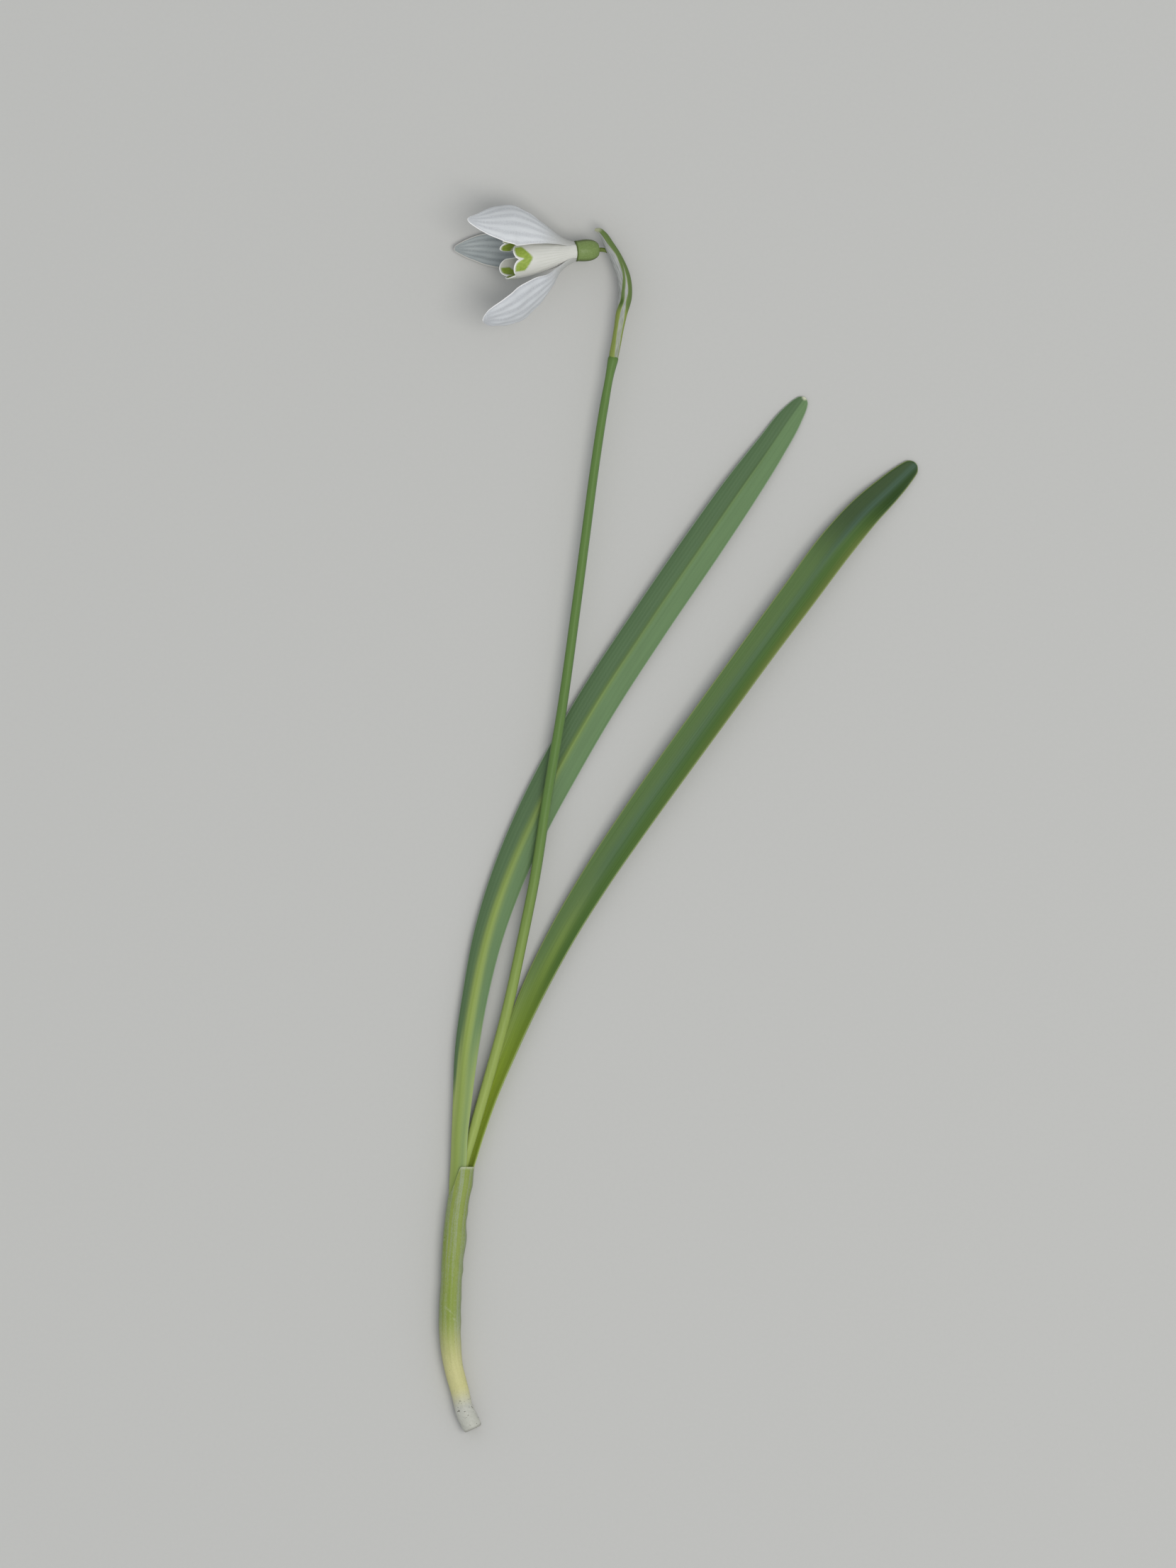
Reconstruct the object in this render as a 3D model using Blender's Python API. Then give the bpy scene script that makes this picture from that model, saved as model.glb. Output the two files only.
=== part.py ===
"""A snowdrop in flower, picked with its sheath and two leaves and laid down.

The plant lies on the plane z = 0 with its flower towards +Y and its cut end towards -Y.
Lengths are written in millimetres and become metres as each mesh is made.
Angles are in degrees, and a cup is a curvature in 1/mm: above 0 a blade's margins bend
down, below 0 they bend up.
"""
import math

import bmesh
import bpy
import numpy as np

MM = 0.001
CREASE = 50.0  # edges sharper than this stay sharp in the shading

# Colour and roughness of each kind of surface.
SHEATH_SKIN = ((0.42, 0.45, 0.22), 0.45)
SCALE_SKIN = ((0.62, 0.55, 0.38), 0.60)
LEAF_BACK_SKIN = ((0.12, 0.21, 0.10), 0.45)
LEAF_FACE_SKIN = ((0.08, 0.18, 0.05), 0.40)
STALK_SKIN = ((0.14, 0.26, 0.06), 0.40)
PEDICEL_SKIN = ((0.25, 0.35, 0.08), 0.45)
SPATHE_SKIN = ((0.30, 0.38, 0.17), 0.50)
OVARY_SKIN = ((0.20, 0.30, 0.06), 0.40)
OUTER_SKIN = ((0.72, 0.73, 0.72), 0.50)
INNER_SKIN = ((0.80, 0.80, 0.70), 0.50)
STAMEN_SKIN = ((0.75, 0.35, 0.03), 0.60)
STYLE_SKIN = ((0.75, 0.75, 0.60), 0.50)

# How finely each kind of piece is divided: along it, and across or round it.
SHEATH_GRID = (22, 16)
SCALE_GRID = (6, 17)
LEAF_GRID = (46, 7)
SCAPE_GRID = (48, 10)
PEDICEL_GRID = (16, 8)
SPATHE_GRID = (20, 13)
OVARY_GRID = (16, 18)
OUTER_GRID = (16, 9)
INNER_GRID = (12, 11)
STAMEN_GRID = (9, 7)
STYLE_GRID = (8, 8)

# The flower: its ovary ends and its petals begin at FLOWER_BASE.
FLOWER_BASE = np.array((-18.5, 102.2, 4.6))
DROOP = 7.0  # how far the flower's axis turns from -X towards -Y
LIFT = 17.0  # how far its mouth is lifted off the table
SEAT_GAP = 0.25  # between a petal's foot and the ovary
OUTER_RING = 1.9  # radius on which the three outer tepals stand
OUTER_FOOT = 1.1  # half of an outer tepal's width there
TEPAL_THICKNESS = 0.3
INNER_THICKNESS = 0.27
TEPAL_EDGE = 0.8  # an outer tepal's thickness at its margin, as a share of its middle's
LEAF_EDGE = 0.5  # the same for a leaf
OVARY_LENGTH = 4.5
OVARY_RADIUS = 2.0
OVARY_WAIST = 0.13  # how much narrower it is at the petals
OVARY_WIDEST = 0.45  # where it is widest, as a share of its length
OVARY_NECK = 0.32  # radius where the pedicel meets it

# The inner tepals form a cup round the flower's axis.
INNER_LOBE = 12.8  # from the base to the end of a lobe
INNER_NOTCH = 1.1  # how deep the notch between two lobes is
INNER_SHOULDER = 2.4  # how far the margins end before the lobes
INNER_OVERLAP = 0.3  # how far each margin stands off the cup, one outwards and one inwards
LOBE_PLACE = 0.5  # where a lobe's end is between the middle and the margin
CUP_RADIUS = ((0.0, 1.35), (1.5, 1.6), (3.0, 2.05), (5.0, 2.6), (7.0, 3.0), (9.0, 3.3),
              (11.0, 3.4), (13.0, 3.3))
CUP_HALF_ANGLE = ((0.0, 48.0), (2.0, 50.0), (5.0, 56.0), (9.0, 63.0), (13.0, 63.0))

# Inside the cup.
STAMEN_COUNT = 6
STAMEN_RING = 0.95
STAMEN_PROFILE = ((0.3, 0.12), (1.2, 0.12), (1.7, 0.26), (3.2, 0.28), (5.2, 0.2), (6.6, 0.06))
STYLE_PROFILE = ((0.3, 0.2), (4.0, 0.17), (7.6, 0.15), (8.6, 0.2))

# The sheath's axis from the cut end to the mouth: x, y, z and its outer radius.
SHEATH_AXIS = (
    (-36.70, -110.2, 1.80, 1.25),
    (-38.35, -107.0, 1.80, 1.27),
    (-39.60, -103.3, 1.85, 1.62),
    (-40.38, -99.4, 1.90, 1.76),
    (-40.92, -94.0, 2.00, 1.92),
    (-41.05, -88.0, 2.05, 1.98),
    (-40.62, -80.0, 2.05, 2.00),
    (-39.98, -72.5, 2.10, 2.05),
    (-38.95, -63.1, 2.15, 2.10),
)
MOUTH_SLANT = 0.13  # share of the sheath's length by which its mouth's far side is lower
MOUTH_HIGH_SIDE = 20.0  # azimuth of the mouth's highest point, from +X towards +Z

# What the sheath holds, in shares of its outer radius.
SHEATH_WALL = 0.13
LEAF_RING = 0.68
LEAF_FOOT = 0.17  # thickness
LEAF_WRAP = 70.0  # half of the angle that a leaf's foot wraps
SCAPE_FOOT = 0.42
LEFT_AZIMUTH = 143.0
RIGHT_AZIMUTH = -40.0

# The torn scale round the cut end.
SCALE_RADIUS = 1.74
SCALE_WALL = 0.16
SCALE_HALF_ANGLE = 165.0
SCALE_END = 0.13  # share of the sheath's axis that it covers

# Blades: x, y, z of the midline, roll (right margin up), half width, cup, thickness.
LEFT_BLADE = (
    (-39.75, -57.2, 3.15, 34.0, 2.02, 0.410, 0.45),
    (-39.23, -52.0, 3.10, 27.0, 2.00, 0.340, 0.50),
    (-38.22, -41.8, 2.85, 15.0, 2.30, 0.220, 0.60),
    (-36.52, -31.5, 2.55, 10.0, 2.45, 0.160, 0.65),
    (-34.25, -21.3, 2.25, 6.0, 2.78, 0.130, 0.65),
    (-30.85, -11.1, 1.95, 3.0, 3.12, 0.110, 0.62),
    (-26.40, -0.8, 1.75, 0.0, 3.40, 0.100, 0.60),
    (-21.10, 9.4, 1.70, 0.0, 3.62, 0.085, 0.60),
    (-15.20, 19.7, 1.80, 0.0, 3.70, 0.080, 0.60),
    (-5.25, 35.0, 2.20, 0.0, 3.66, 0.080, 0.58),
    (5.30, 50.4, 2.20, 0.0, 3.60, 0.080, 0.55),
    (11.45, 59.3, 1.80, 0.0, 3.35, 0.080, 0.52),
    (16.85, 67.0, 1.15, 0.0, 2.78, 0.090, 0.48),
    (20.68, 72.7, 0.62, 0.0, 2.10, 0.120, 0.45),
    (22.15, 74.8, 0.42, 0.0, 1.35, 0.180, 0.42),
    (22.72, 75.60, 0.34, 0.0, 0.50, 0.200, 0.40),
)
RIGHT_BLADE = (
    (-35.60, -57.0, 1.12, 40.0, 1.90, -0.580, 0.42),
    (-33.95, -51.3, 1.05, 35.0, 1.90, -0.500, 0.48),
    (-30.33, -41.8, 1.10, 25.0, 2.05, -0.360, 0.55),
    (-26.06, -31.5, 1.25, 14.0, 2.40, -0.260, 0.60),
    (-20.94, -21.3, 1.50, 6.0, 2.60, -0.200, 0.60),
    (-14.85, -11.1, 1.90, 2.0, 2.80, -0.160, 0.60),
    (-7.94, -0.8, 2.30, 0.0, 3.00, -0.150, 0.60),
    (-0.70, 9.4, 2.60, 0.0, 3.10, -0.140, 0.60),
    (6.78, 19.7, 2.80, 0.0, 3.15, -0.140, 0.60),
    (14.20, 29.9, 2.80, 0.0, 3.15, -0.130, 0.60),
    (21.75, 40.1, 2.50, 0.0, 3.25, -0.120, 0.58),
    (29.50, 50.4, 1.80, 0.0, 3.25, -0.110, 0.55),
    (33.80, 55.5, 1.30, 0.0, 3.10, -0.110, 0.52),
    (37.55, 59.2, 0.80, 0.0, 2.72, -0.110, 0.50),
    (40.25, 61.7, 0.48, 0.0, 2.15, -0.120, 0.48),
    (42.05, 63.2, 0.34, 0.0, 1.42, -0.150, 0.45),
    (42.90, 63.9, 0.28, 0.0, 0.55, -0.150, 0.42),
)
UPPER_TEPAL = (
    (-21.51, 104.6, 7.1, -54.0, 1.35, 0.350, 0.30),
    (-24.27, 105.9, 8.7, -49.0, 2.60, 0.200, 0.30),
    (-27.02, 107.1, 10.1, -45.0, 4.10, 0.140, 0.30),
    (-29.37, 107.9, 11.2, -42.0, 4.90, 0.120, 0.30),
    (-31.84, 108.2, 12.1, -41.0, 4.55, 0.120, 0.30),
    (-34.44, 108.2, 12.8, -40.0, 3.10, 0.130, 0.30),
    (-36.55, 108.1, 13.2, -40.0, 1.55, 0.160, 0.28),
    (-37.85, 108.1, 13.4, -40.0, 0.40, 0.200, 0.26),
)
LOWER_TEPAL = (
    (-21.51, 98.8, 6.9, 70.0, 1.20, 0.450, 0.30),
    (-22.95, 96.7, 8.1, 62.0, 2.30, 0.250, 0.30),
    (-24.68, 94.9, 9.3, 54.0, 3.60, 0.160, 0.30),
    (-26.39, 93.3, 10.3, 53.0, 4.25, 0.130, 0.30),
    (-28.94, 91.4, 11.5, 52.0, 4.50, 0.120, 0.30),
    (-31.15, 90.5, 12.1, 52.0, 3.90, 0.130, 0.30),
    (-33.40, 90.1, 12.5, 52.0, 2.80, 0.150, 0.28),
    (-35.10, 89.95, 12.8, 52.0, 0.90, 0.200, 0.26),
)
BACK_TEPAL = (
    (-23.00, 101.9, 1.60, 0.0, 1.60, -0.350, 0.30),
    (-26.00, 102.0, 0.80, 0.0, 2.50, -0.240, 0.30),
    (-29.20, 102.1, 0.35, 0.0, 3.30, -0.200, 0.30),
    (-32.30, 102.3, 0.21, 0.0, 3.45, -0.200, 0.30),
    (-35.50, 102.5, 0.35, 0.0, 2.85, -0.190, 0.30),
    (-38.30, 102.6, 0.80, 0.0, 1.65, -0.190, 0.28),
    (-40.25, 102.7, 1.30, 0.0, 0.40, -0.200, 0.26),
)

# Stalks: x, y, z and radius. The scape's rows start in the sheath's mouth.
SCAPE = (
    (-38.72, -63.1, 2.28, 0.88),
    (-36.90, -57.2, 2.50, 0.93),
    (-34.00, -46.9, 2.60, 0.95),
    (-31.30, -36.7, 2.70, 0.95),
    (-27.90, -21.3, 2.85, 0.94),
    (-25.85, -11.1, 3.05, 0.93),
    (-23.50, 4.0, 3.25, 0.90),
    (-20.90, 19.7, 3.30, 0.87),
    (-18.40, 37.6, 3.30, 0.84),
    (-16.70, 50.4, 3.30, 0.82),
    (-15.10, 62.5, 3.25, 0.80),
    (-13.35, 74.0, 3.20, 0.79),
    (-12.10, 80.8, 3.20, 0.80),
    (-11.75, 82.5, 3.20, 0.90),
    (-11.62, 83.2, 3.20, 0.88),
)
PEDICEL = (
    (-11.50, 83.5, 3.20, 0.28),
    (-10.60, 88.0, 3.20, 0.28),
    (-9.75, 93.0, 3.20, 0.30),
    (-9.85, 96.5, 3.15, 0.32),
    (-10.75, 99.8, 2.95, 0.34),
    (-12.05, 101.9, 2.85, 0.35),
    (-13.05, 102.55, 3.00, 0.35),
    (-13.92, 102.66, 3.18, 0.35),
)

# The spathe's axis: x, y, z, radius, half of the angle that its wall covers, and the side
# it turns its back to, as a roll.
SPATHE = (
    (-11.52, 83.5, 3.20, 0.78, 165.0, -42.0),
    (-10.68, 88.1, 3.20, 0.80, 160.0, -42.0),
    (-10.15, 90.5, 3.25, 0.96, 150.0, -42.0),
    (-9.45, 94.5, 3.30, 1.22, 140.0, -38.0),
    (-9.75, 97.2, 3.30, 1.20, 132.0, -34.0),
    (-11.05, 100.7, 3.35, 1.02, 118.0, -30.0),
    (-12.50, 103.4, 3.45, 0.80, 105.0, -26.0),
    (-13.85, 105.5, 3.50, 0.52, 95.0, -24.0),
    (-14.65, 106.1, 3.40, 0.36, 90.0, -24.0),
)
SPATHE_WALL = 0.18


def unit(vectors):
    """Scale one vector or rows of vectors to length 1."""
    vectors = np.asarray(vectors, float)
    return vectors / np.linalg.norm(vectors, axis=-1, keepdims=True)


def flower_axes():
    """Return the flower's axis, its side towards +Y and its front towards +Z."""
    droop, lift = math.radians(DROOP), math.radians(LIFT)
    flat = np.array((-math.cos(droop), -math.sin(droop), 0.0))
    axis = flat * math.cos(lift) + np.array((0.0, 0.0, math.sin(lift)))
    side = np.array((-math.sin(droop), math.cos(droop), 0.0))
    return axis, side, np.cross(side, axis)


AXIS, SIDE, FRONT = flower_axes()


def smooth(knots, at):
    """Read a smooth curve through the knots, whose first column is the parameter."""
    knots = np.asarray(knots, float)
    at = np.clip(np.asarray(at, float), knots[0, 0], knots[-1, 0])
    slopes = np.gradient(knots[:, 1:], knots[:, 0], axis=0)
    last = len(knots) - 2
    index = np.clip(np.searchsorted(knots[:, 0], at, side="right") - 1, 0, last)
    start, end = knots[index, 0], knots[index + 1, 0]
    span = (end - start)[..., None]
    t = (at - start)[..., None] / span
    return (knots[index, 1:] * (2 * t**3 - 3 * t**2 + 1)
            + slopes[index] * span * (t**3 - 2 * t**2 + t)
            + knots[index + 1, 1:] * (3 * t**2 - 2 * t**3)
            + slopes[index + 1] * span * (t**3 - t**2))


def by_length(rows):
    """Put each row's distance along the line, from 0 to 1, in front of it."""
    rows = np.asarray(rows, float)
    steps = np.linalg.norm(np.diff(rows[:, :3], axis=0), axis=1)
    length = np.concatenate(((0.0,), np.cumsum(steps)))
    return np.column_stack((length / length[-1], rows))


def frames(knots, at):
    """Return the tangent, level side and upward side of a line at the parameters."""
    step = 1e-3
    ahead = smooth(knots, np.minimum(at + step, 1.0))[..., :3]
    behind = smooth(knots, np.maximum(at - step, 0.0))[..., :3]
    tangent = unit(ahead - behind)
    side = unit(np.cross(tangent, (0.0, 0.0, 1.0)))
    return tangent, side, np.cross(side, tangent)


def rolled(side, up, roll):
    """Turn a section by its roll, the right side going up."""
    turn = np.radians(roll)[..., None]
    return side * np.cos(turn) + up * np.sin(turn), up * np.cos(turn) - side * np.sin(turn)


def make_object(name, points, faces, skin):
    """Make one closed, smooth-shaded object with a material of its own."""
    mesh = bpy.data.meshes.new(name)
    mesh.from_pydata((np.asarray(points) * MM).tolist(), [], faces)
    shell = bmesh.new()
    shell.from_mesh(mesh)
    bmesh.ops.recalc_face_normals(shell, faces=shell.faces)
    shell.to_mesh(mesh)
    shell.free()
    mesh.shade_smooth()
    mesh.set_sharp_from_angle(angle=math.radians(CREASE))
    material = bpy.data.materials.new(name)
    material.use_nodes = True
    shader = material.node_tree.nodes["Principled BSDF"]
    colour, roughness = skin
    shader.inputs["Base Color"].default_value = (*colour, 1.0)
    shader.inputs["Roughness"].default_value = roughness
    shader.inputs["Metallic"].default_value = 0.0
    mesh.materials.append(material)
    made = bpy.data.objects.new(name, mesh)
    bpy.context.scene.collection.objects.link(made)
    return made


def quads(rows, columns, wrap):
    """Return the four corners of every cell of a grid of points, by their numbers."""
    number = np.arange(rows * columns).reshape(rows, columns)
    if wrap:
        number = np.column_stack((number, number[:, 0]))
    return np.stack((number[:-1, :-1], number[:-1, 1:], number[1:, 1:], number[1:, :-1]),
                    axis=-1).reshape(-1, 4)


def make_sheet(name, outer, inner, skin, wrap=False):
    """Close two grids of points, one on each face of a sheet, into one solid."""
    rows, columns = outer.shape[:2]
    shift = rows * columns
    faces = quads(rows, columns, wrap)
    rims = [np.arange(columns), np.arange(columns) + (rows - 1) * columns]
    if wrap:
        rims = [np.append(rim, rim[0]) for rim in rims]
    else:
        rims += [np.arange(rows) * columns, np.arange(rows) * columns + columns - 1]
    walls = [np.stack((rim[:-1], rim[1:], rim[1:] + shift, rim[:-1] + shift), axis=-1)
             for rim in rims]
    points = np.concatenate((outer.reshape(-1, 3), inner.reshape(-1, 3)))
    every = np.concatenate((faces, faces[:, ::-1] + shift, *walls))
    return make_object(name, points, every.tolist(), skin)


def make_tube(name, rows, grid, skin):
    """Make a round stalk along x, y, z and radius rows, with flat ends."""
    stations, sides = grid
    knots = by_length(rows)
    at = np.linspace(0.0, 1.0, stations)
    values = smooth(knots, at)
    side, up = frames(knots, at)[1:]
    turn = np.arange(sides) * (2.0 * math.pi / sides)
    ring = (side[:, None] * np.cos(turn)[None, :, None]
            + up[:, None] * np.sin(turn)[None, :, None])
    points = values[:, None, :3] + ring * values[:, None, 3:4]
    faces = quads(stations, sides, wrap=True).tolist()
    faces.append(list(range(sides))[::-1])
    faces.append([(stations - 1) * sides + number for number in range(sides)])
    return make_object(name, points.reshape(-1, 3), faces, skin)


def make_blade(name, rows, grid, margin, skin):
    """Make a leaf or an outer tepal: a ribbon that bends to a circle's arc across.

    The margin is its edges' thickness as a share of the middle's. Its stations stand
    closer together towards the tip, whose outline is round.
    """
    stations, across = grid
    knots = by_length(rows)
    at = np.sin(np.linspace(0.0, math.pi / 2, stations)) ** 1.15
    values = smooth(knots, at)
    side, up = frames(knots, at)[1:]
    side, up = rolled(side, up, values[:, 3])
    half, cup, thickness = (values[:, column, None] for column in (4, 5, 6))
    share = np.linspace(-1.0, 1.0, across)
    angle = share * half * cup
    sideways, lift = np.sin(angle) / cup, (np.cos(angle) - 1.0) / cup
    middle = (values[:, None, :3] + side[:, None] * sideways[..., None]
              + up[:, None] * lift[..., None])
    normal = up[:, None] * np.cos(angle)[..., None] + side[:, None] * np.sin(angle)[..., None]
    depth = thickness * (margin + (1.0 - margin) * (1.0 - share**2)) / 2.0
    return make_sheet(name, middle + normal * depth[..., None],
                      middle - normal * depth[..., None], skin)


def nested(azimuth, inwards):
    """Rows of a leaf's foot on its ring inside the sheath, up to the mouth."""
    direction = np.array((math.cos(math.radians(azimuth)), 0.0, math.sin(math.radians(azimuth))))
    rows = []
    for x, y, z, radius in SHEATH_AXIS:
        ring = radius * LEAF_RING
        place = np.array((x, y, z)) + direction * ring
        roll = azimuth + 90.0 if inwards else azimuth - 90.0
        cup = -1.0 / ring if inwards else 1.0 / ring
        rows.append((*place, roll, ring * math.radians(LEAF_WRAP), cup, radius * LEAF_FOOT))
    return rows


def ring_foot(azimuth, roll, cup):
    """Row of an outer tepal's foot on the flower's ring."""
    turn = math.radians(azimuth)
    outwards = FRONT * math.cos(turn) + SIDE * math.sin(turn)
    place = FLOWER_BASE + AXIS * SEAT_GAP + outwards * OUTER_RING
    return (*place, roll, OUTER_FOOT, cup, TEPAL_THICKNESS)


def make_sheath():
    """The tubular sheath with its slanted mouth."""
    stations, sides = SHEATH_GRID
    knots = by_length(SHEATH_AXIS)
    turn = np.arange(sides) * (2.0 * math.pi / sides)
    lowered = (1.0 - np.cos(turn - math.radians(MOUTH_HIGH_SIDE))) / 2.0
    at = np.linspace(0.0, 1.0, stations)[:, None] * (1.0 - MOUTH_SLANT * lowered)
    values = smooth(knots, at)
    side, up = frames(knots, at)[1:]
    ring = side * np.cos(turn)[None, :, None] + up * np.sin(turn)[None, :, None]
    radius = values[..., 3:4]
    outer = values[..., :3] + ring * radius
    inner = values[..., :3] + ring * radius * (1.0 - SHEATH_WALL)
    return make_sheet("sheath", outer, inner, SHEATH_SKIN, wrap=True)


def make_basal_scale():
    """The dry scale that wraps the cut end, open along the table."""
    stations, across = SCALE_GRID
    knots = by_length(SHEATH_AXIS)
    at = np.linspace(0.0, SCALE_END, stations)
    values = smooth(knots, at)
    side, up = frames(knots, at)[1:]
    angle = np.radians(np.linspace(-SCALE_HALF_ANGLE, SCALE_HALF_ANGLE, across))
    ring = (side[:, None] * np.sin(angle)[None, :, None]
            + up[:, None] * np.cos(angle)[None, :, None])
    outer = values[:, None, :3] + ring * SCALE_RADIUS
    inner = values[:, None, :3] + ring * (SCALE_RADIUS - SCALE_WALL)
    return make_sheet("basal_scale", outer, inner, SCALE_SKIN)


def make_spathe():
    """The folded bract above the stalk, open on the flower's side."""
    stations, across = SPATHE_GRID
    knots = by_length(SPATHE)
    at = np.linspace(0.0, 1.0, stations)
    values = smooth(knots, at)
    side, up = frames(knots, at)[1:]
    side, up = rolled(side, up, values[:, 5])
    angle = np.radians(values[:, 4, None] * np.linspace(-1.0, 1.0, across))
    ring = side[:, None] * np.sin(angle)[..., None] + up[:, None] * np.cos(angle)[..., None]
    radius = values[:, None, 3:4]
    outer = values[:, None, :3] + ring * radius
    inner = values[:, None, :3] + ring * (radius - SPATHE_WALL)
    return make_sheet("spathe", outer, inner, SPATHE_SKIN)


def make_inner_tepal(name, azimuth):
    """One notched tepal of the cup, its lower margin outside its neighbour's."""
    stations, across = INNER_GRID
    share = np.linspace(-1.0, 1.0, across)
    inside = np.maximum(1.0 - np.abs(share) / LOBE_PLACE, 0.0)
    outside = np.maximum((np.abs(share) - LOBE_PLACE) / (1.0 - LOBE_PLACE), 0.0)
    end = INNER_LOBE - INNER_NOTCH * inside**2 - INNER_SHOULDER * outside**2
    height = SEAT_GAP + np.linspace(0.0, 1.0, stations)[:, None] * (end - SEAT_GAP)
    opened = height / INNER_LOBE
    radius = smooth(CUP_RADIUS, height)[..., 0] - INNER_OVERLAP * share * opened
    angle = np.radians(azimuth + share * smooth(CUP_HALF_ANGLE, height)[..., 0])
    outwards = FRONT * np.cos(angle)[..., None] + SIDE * np.sin(angle)[..., None]
    spine = FLOWER_BASE + AXIS * height[..., None]
    half = INNER_THICKNESS / 2.0
    return make_sheet(name, spine + outwards * (radius + half)[..., None],
                      spine + outwards * (radius - half)[..., None], INNER_SKIN)


def along_flower(profile, offset=(0.0, 0.0, 0.0)):
    """Rows of a stalk that stands in the flower, from its distance and radius pairs."""
    return [(*(FLOWER_BASE + offset + AXIS * distance), radius) for distance, radius in profile]


def make_ovary():
    """The barrel-shaped ovary, flat towards the petals."""
    profile = []
    for share in np.linspace(0.0, OVARY_WIDEST, 4):
        waist = OVARY_WAIST * (1.0 - share / OVARY_WIDEST) ** 2
        profile.append((-OVARY_LENGTH * share, OVARY_RADIUS * (1.0 - waist)))
    for turn in range(15, 90, 15):
        angle = math.radians(turn)
        share = OVARY_WIDEST + (1.0 - OVARY_WIDEST) * math.sin(angle)
        profile.append((-OVARY_LENGTH * share, OVARY_RADIUS * math.cos(angle) ** 0.6))
    profile.append((-OVARY_LENGTH, OVARY_NECK))
    return make_tube("ovary", along_flower(profile), OVARY_GRID, OVARY_SKIN)


def make_stamens():
    """Six stamens round the style, hidden in the cup."""
    for number in range(STAMEN_COUNT):
        turn = 2.0 * math.pi * (number + 0.5) / STAMEN_COUNT
        offset = (FRONT * math.cos(turn) + SIDE * math.sin(turn)) * STAMEN_RING
        make_tube(f"stamen_{number + 1}", along_flower(STAMEN_PROFILE, offset), STAMEN_GRID,
                  STAMEN_SKIN)


def make_leaves():
    """The two leaves, whose feet wrap the stalk inside the sheath."""
    left = [*nested(LEFT_AZIMUTH, inwards=False), *LEFT_BLADE]
    right = [*nested(RIGHT_AZIMUTH, inwards=True), *RIGHT_BLADE]
    make_blade("leaf_left", left, LEAF_GRID, LEAF_EDGE, LEAF_BACK_SKIN)
    make_blade("leaf_right", right, LEAF_GRID, LEAF_EDGE, LEAF_FACE_SKIN)


def make_outer_tepals():
    """The three outer tepals: two in front and one along the table."""
    foot_cup = 1.0 / OUTER_RING
    for name, foot, rows in (
            ("outer_tepal_upper", ring_foot(60.0, -60.0, foot_cup), UPPER_TEPAL),
            ("outer_tepal_lower", ring_foot(-60.0, 62.0, foot_cup), LOWER_TEPAL),
            ("outer_tepal_back", ring_foot(180.0, 0.0, -foot_cup), BACK_TEPAL)):
        make_blade(name, [foot, *rows], OUTER_GRID, TEPAL_EDGE, OUTER_SKIN)


def make_stalks():
    """The scape that carries the flower, and the thread-like pedicel."""
    inside = [(x, y, z, radius * SCAPE_FOOT) for x, y, z, radius in SHEATH_AXIS[:-1]]
    make_tube("scape", [*inside, *SCAPE], SCAPE_GRID, STALK_SKIN)
    make_tube("pedicel", PEDICEL, PEDICEL_GRID, PEDICEL_SKIN)
    make_tube("style", along_flower(STYLE_PROFILE), STYLE_GRID, STYLE_SKIN)


def main():
    for old in list(bpy.data.objects):
        bpy.data.objects.remove(old, do_unlink=True)
    make_sheath()
    make_basal_scale()
    make_leaves()
    make_stalks()
    make_spathe()
    make_ovary()
    make_outer_tepals()
    make_inner_tepal("inner_tepal_front", 0.0)
    make_inner_tepal("inner_tepal_upper", 120.0)
    make_inner_tepal("inner_tepal_lower", 240.0)
    make_stamens()


if __name__ == "__main__":
    main()
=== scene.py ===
"""The looks of a snowdrop in flower, picked with its sheath and two leaves and laid down.

The plant lies on the plane z = 0 with its flower towards +Y and its cut end towards -Y.
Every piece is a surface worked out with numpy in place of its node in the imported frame.
Lengths are in millimetres and become metres as each mesh is made. Angles are in degrees.
A cup is a curvature in 1/mm: above 0 a blade's margins bend down, below 0 they bend up.
"""

import logging
import math
from collections.abc import Callable, Sequence
from dataclasses import dataclass, replace
from enum import Enum
from functools import cached_property

import bpy
import numpy as np
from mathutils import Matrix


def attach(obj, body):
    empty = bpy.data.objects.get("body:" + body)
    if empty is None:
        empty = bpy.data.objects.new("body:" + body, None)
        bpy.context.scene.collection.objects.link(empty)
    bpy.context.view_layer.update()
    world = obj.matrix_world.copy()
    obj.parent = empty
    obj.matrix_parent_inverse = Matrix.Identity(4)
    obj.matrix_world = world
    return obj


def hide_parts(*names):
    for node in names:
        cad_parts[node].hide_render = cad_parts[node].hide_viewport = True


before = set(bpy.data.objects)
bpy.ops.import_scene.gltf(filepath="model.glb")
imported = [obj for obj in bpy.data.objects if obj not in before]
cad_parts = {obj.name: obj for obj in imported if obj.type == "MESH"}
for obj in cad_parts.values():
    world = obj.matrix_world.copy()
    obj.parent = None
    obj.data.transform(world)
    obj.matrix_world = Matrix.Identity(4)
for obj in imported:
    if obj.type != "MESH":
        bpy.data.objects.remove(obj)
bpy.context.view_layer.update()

LOG = logging.getLogger("snowdrop")
MM = 0.001
EVEN = (0.6, 0.6, 0.6)  # how far red, green and blue light spread under a skin
BODY = "root"
SHARP_EDGE = 62.0

Array = np.ndarray
Rows = tuple[tuple[float, ...], ...]
Colour = tuple[float, float, float, float]
Grid = tuple[int, int]
Marks = Sequence[Array | float]
KEYS = ("place", "share", "marks")  # a chart's fields, which become mesh attributes


def srgb(red: int, green: int, blue: int) -> Colour:
    """Turn a display colour from 0 to 255 into the linear colour that a shader takes."""
    parts = np.array((red, green, blue)) / 255.0
    linear = np.where(parts <= 0.04045, parts / 12.92, ((parts + 0.055) / 1.055) ** 2.4)
    return (*linear.tolist(), 1.0)


# ---------------------------------------------------------------- numbers and curves


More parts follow.
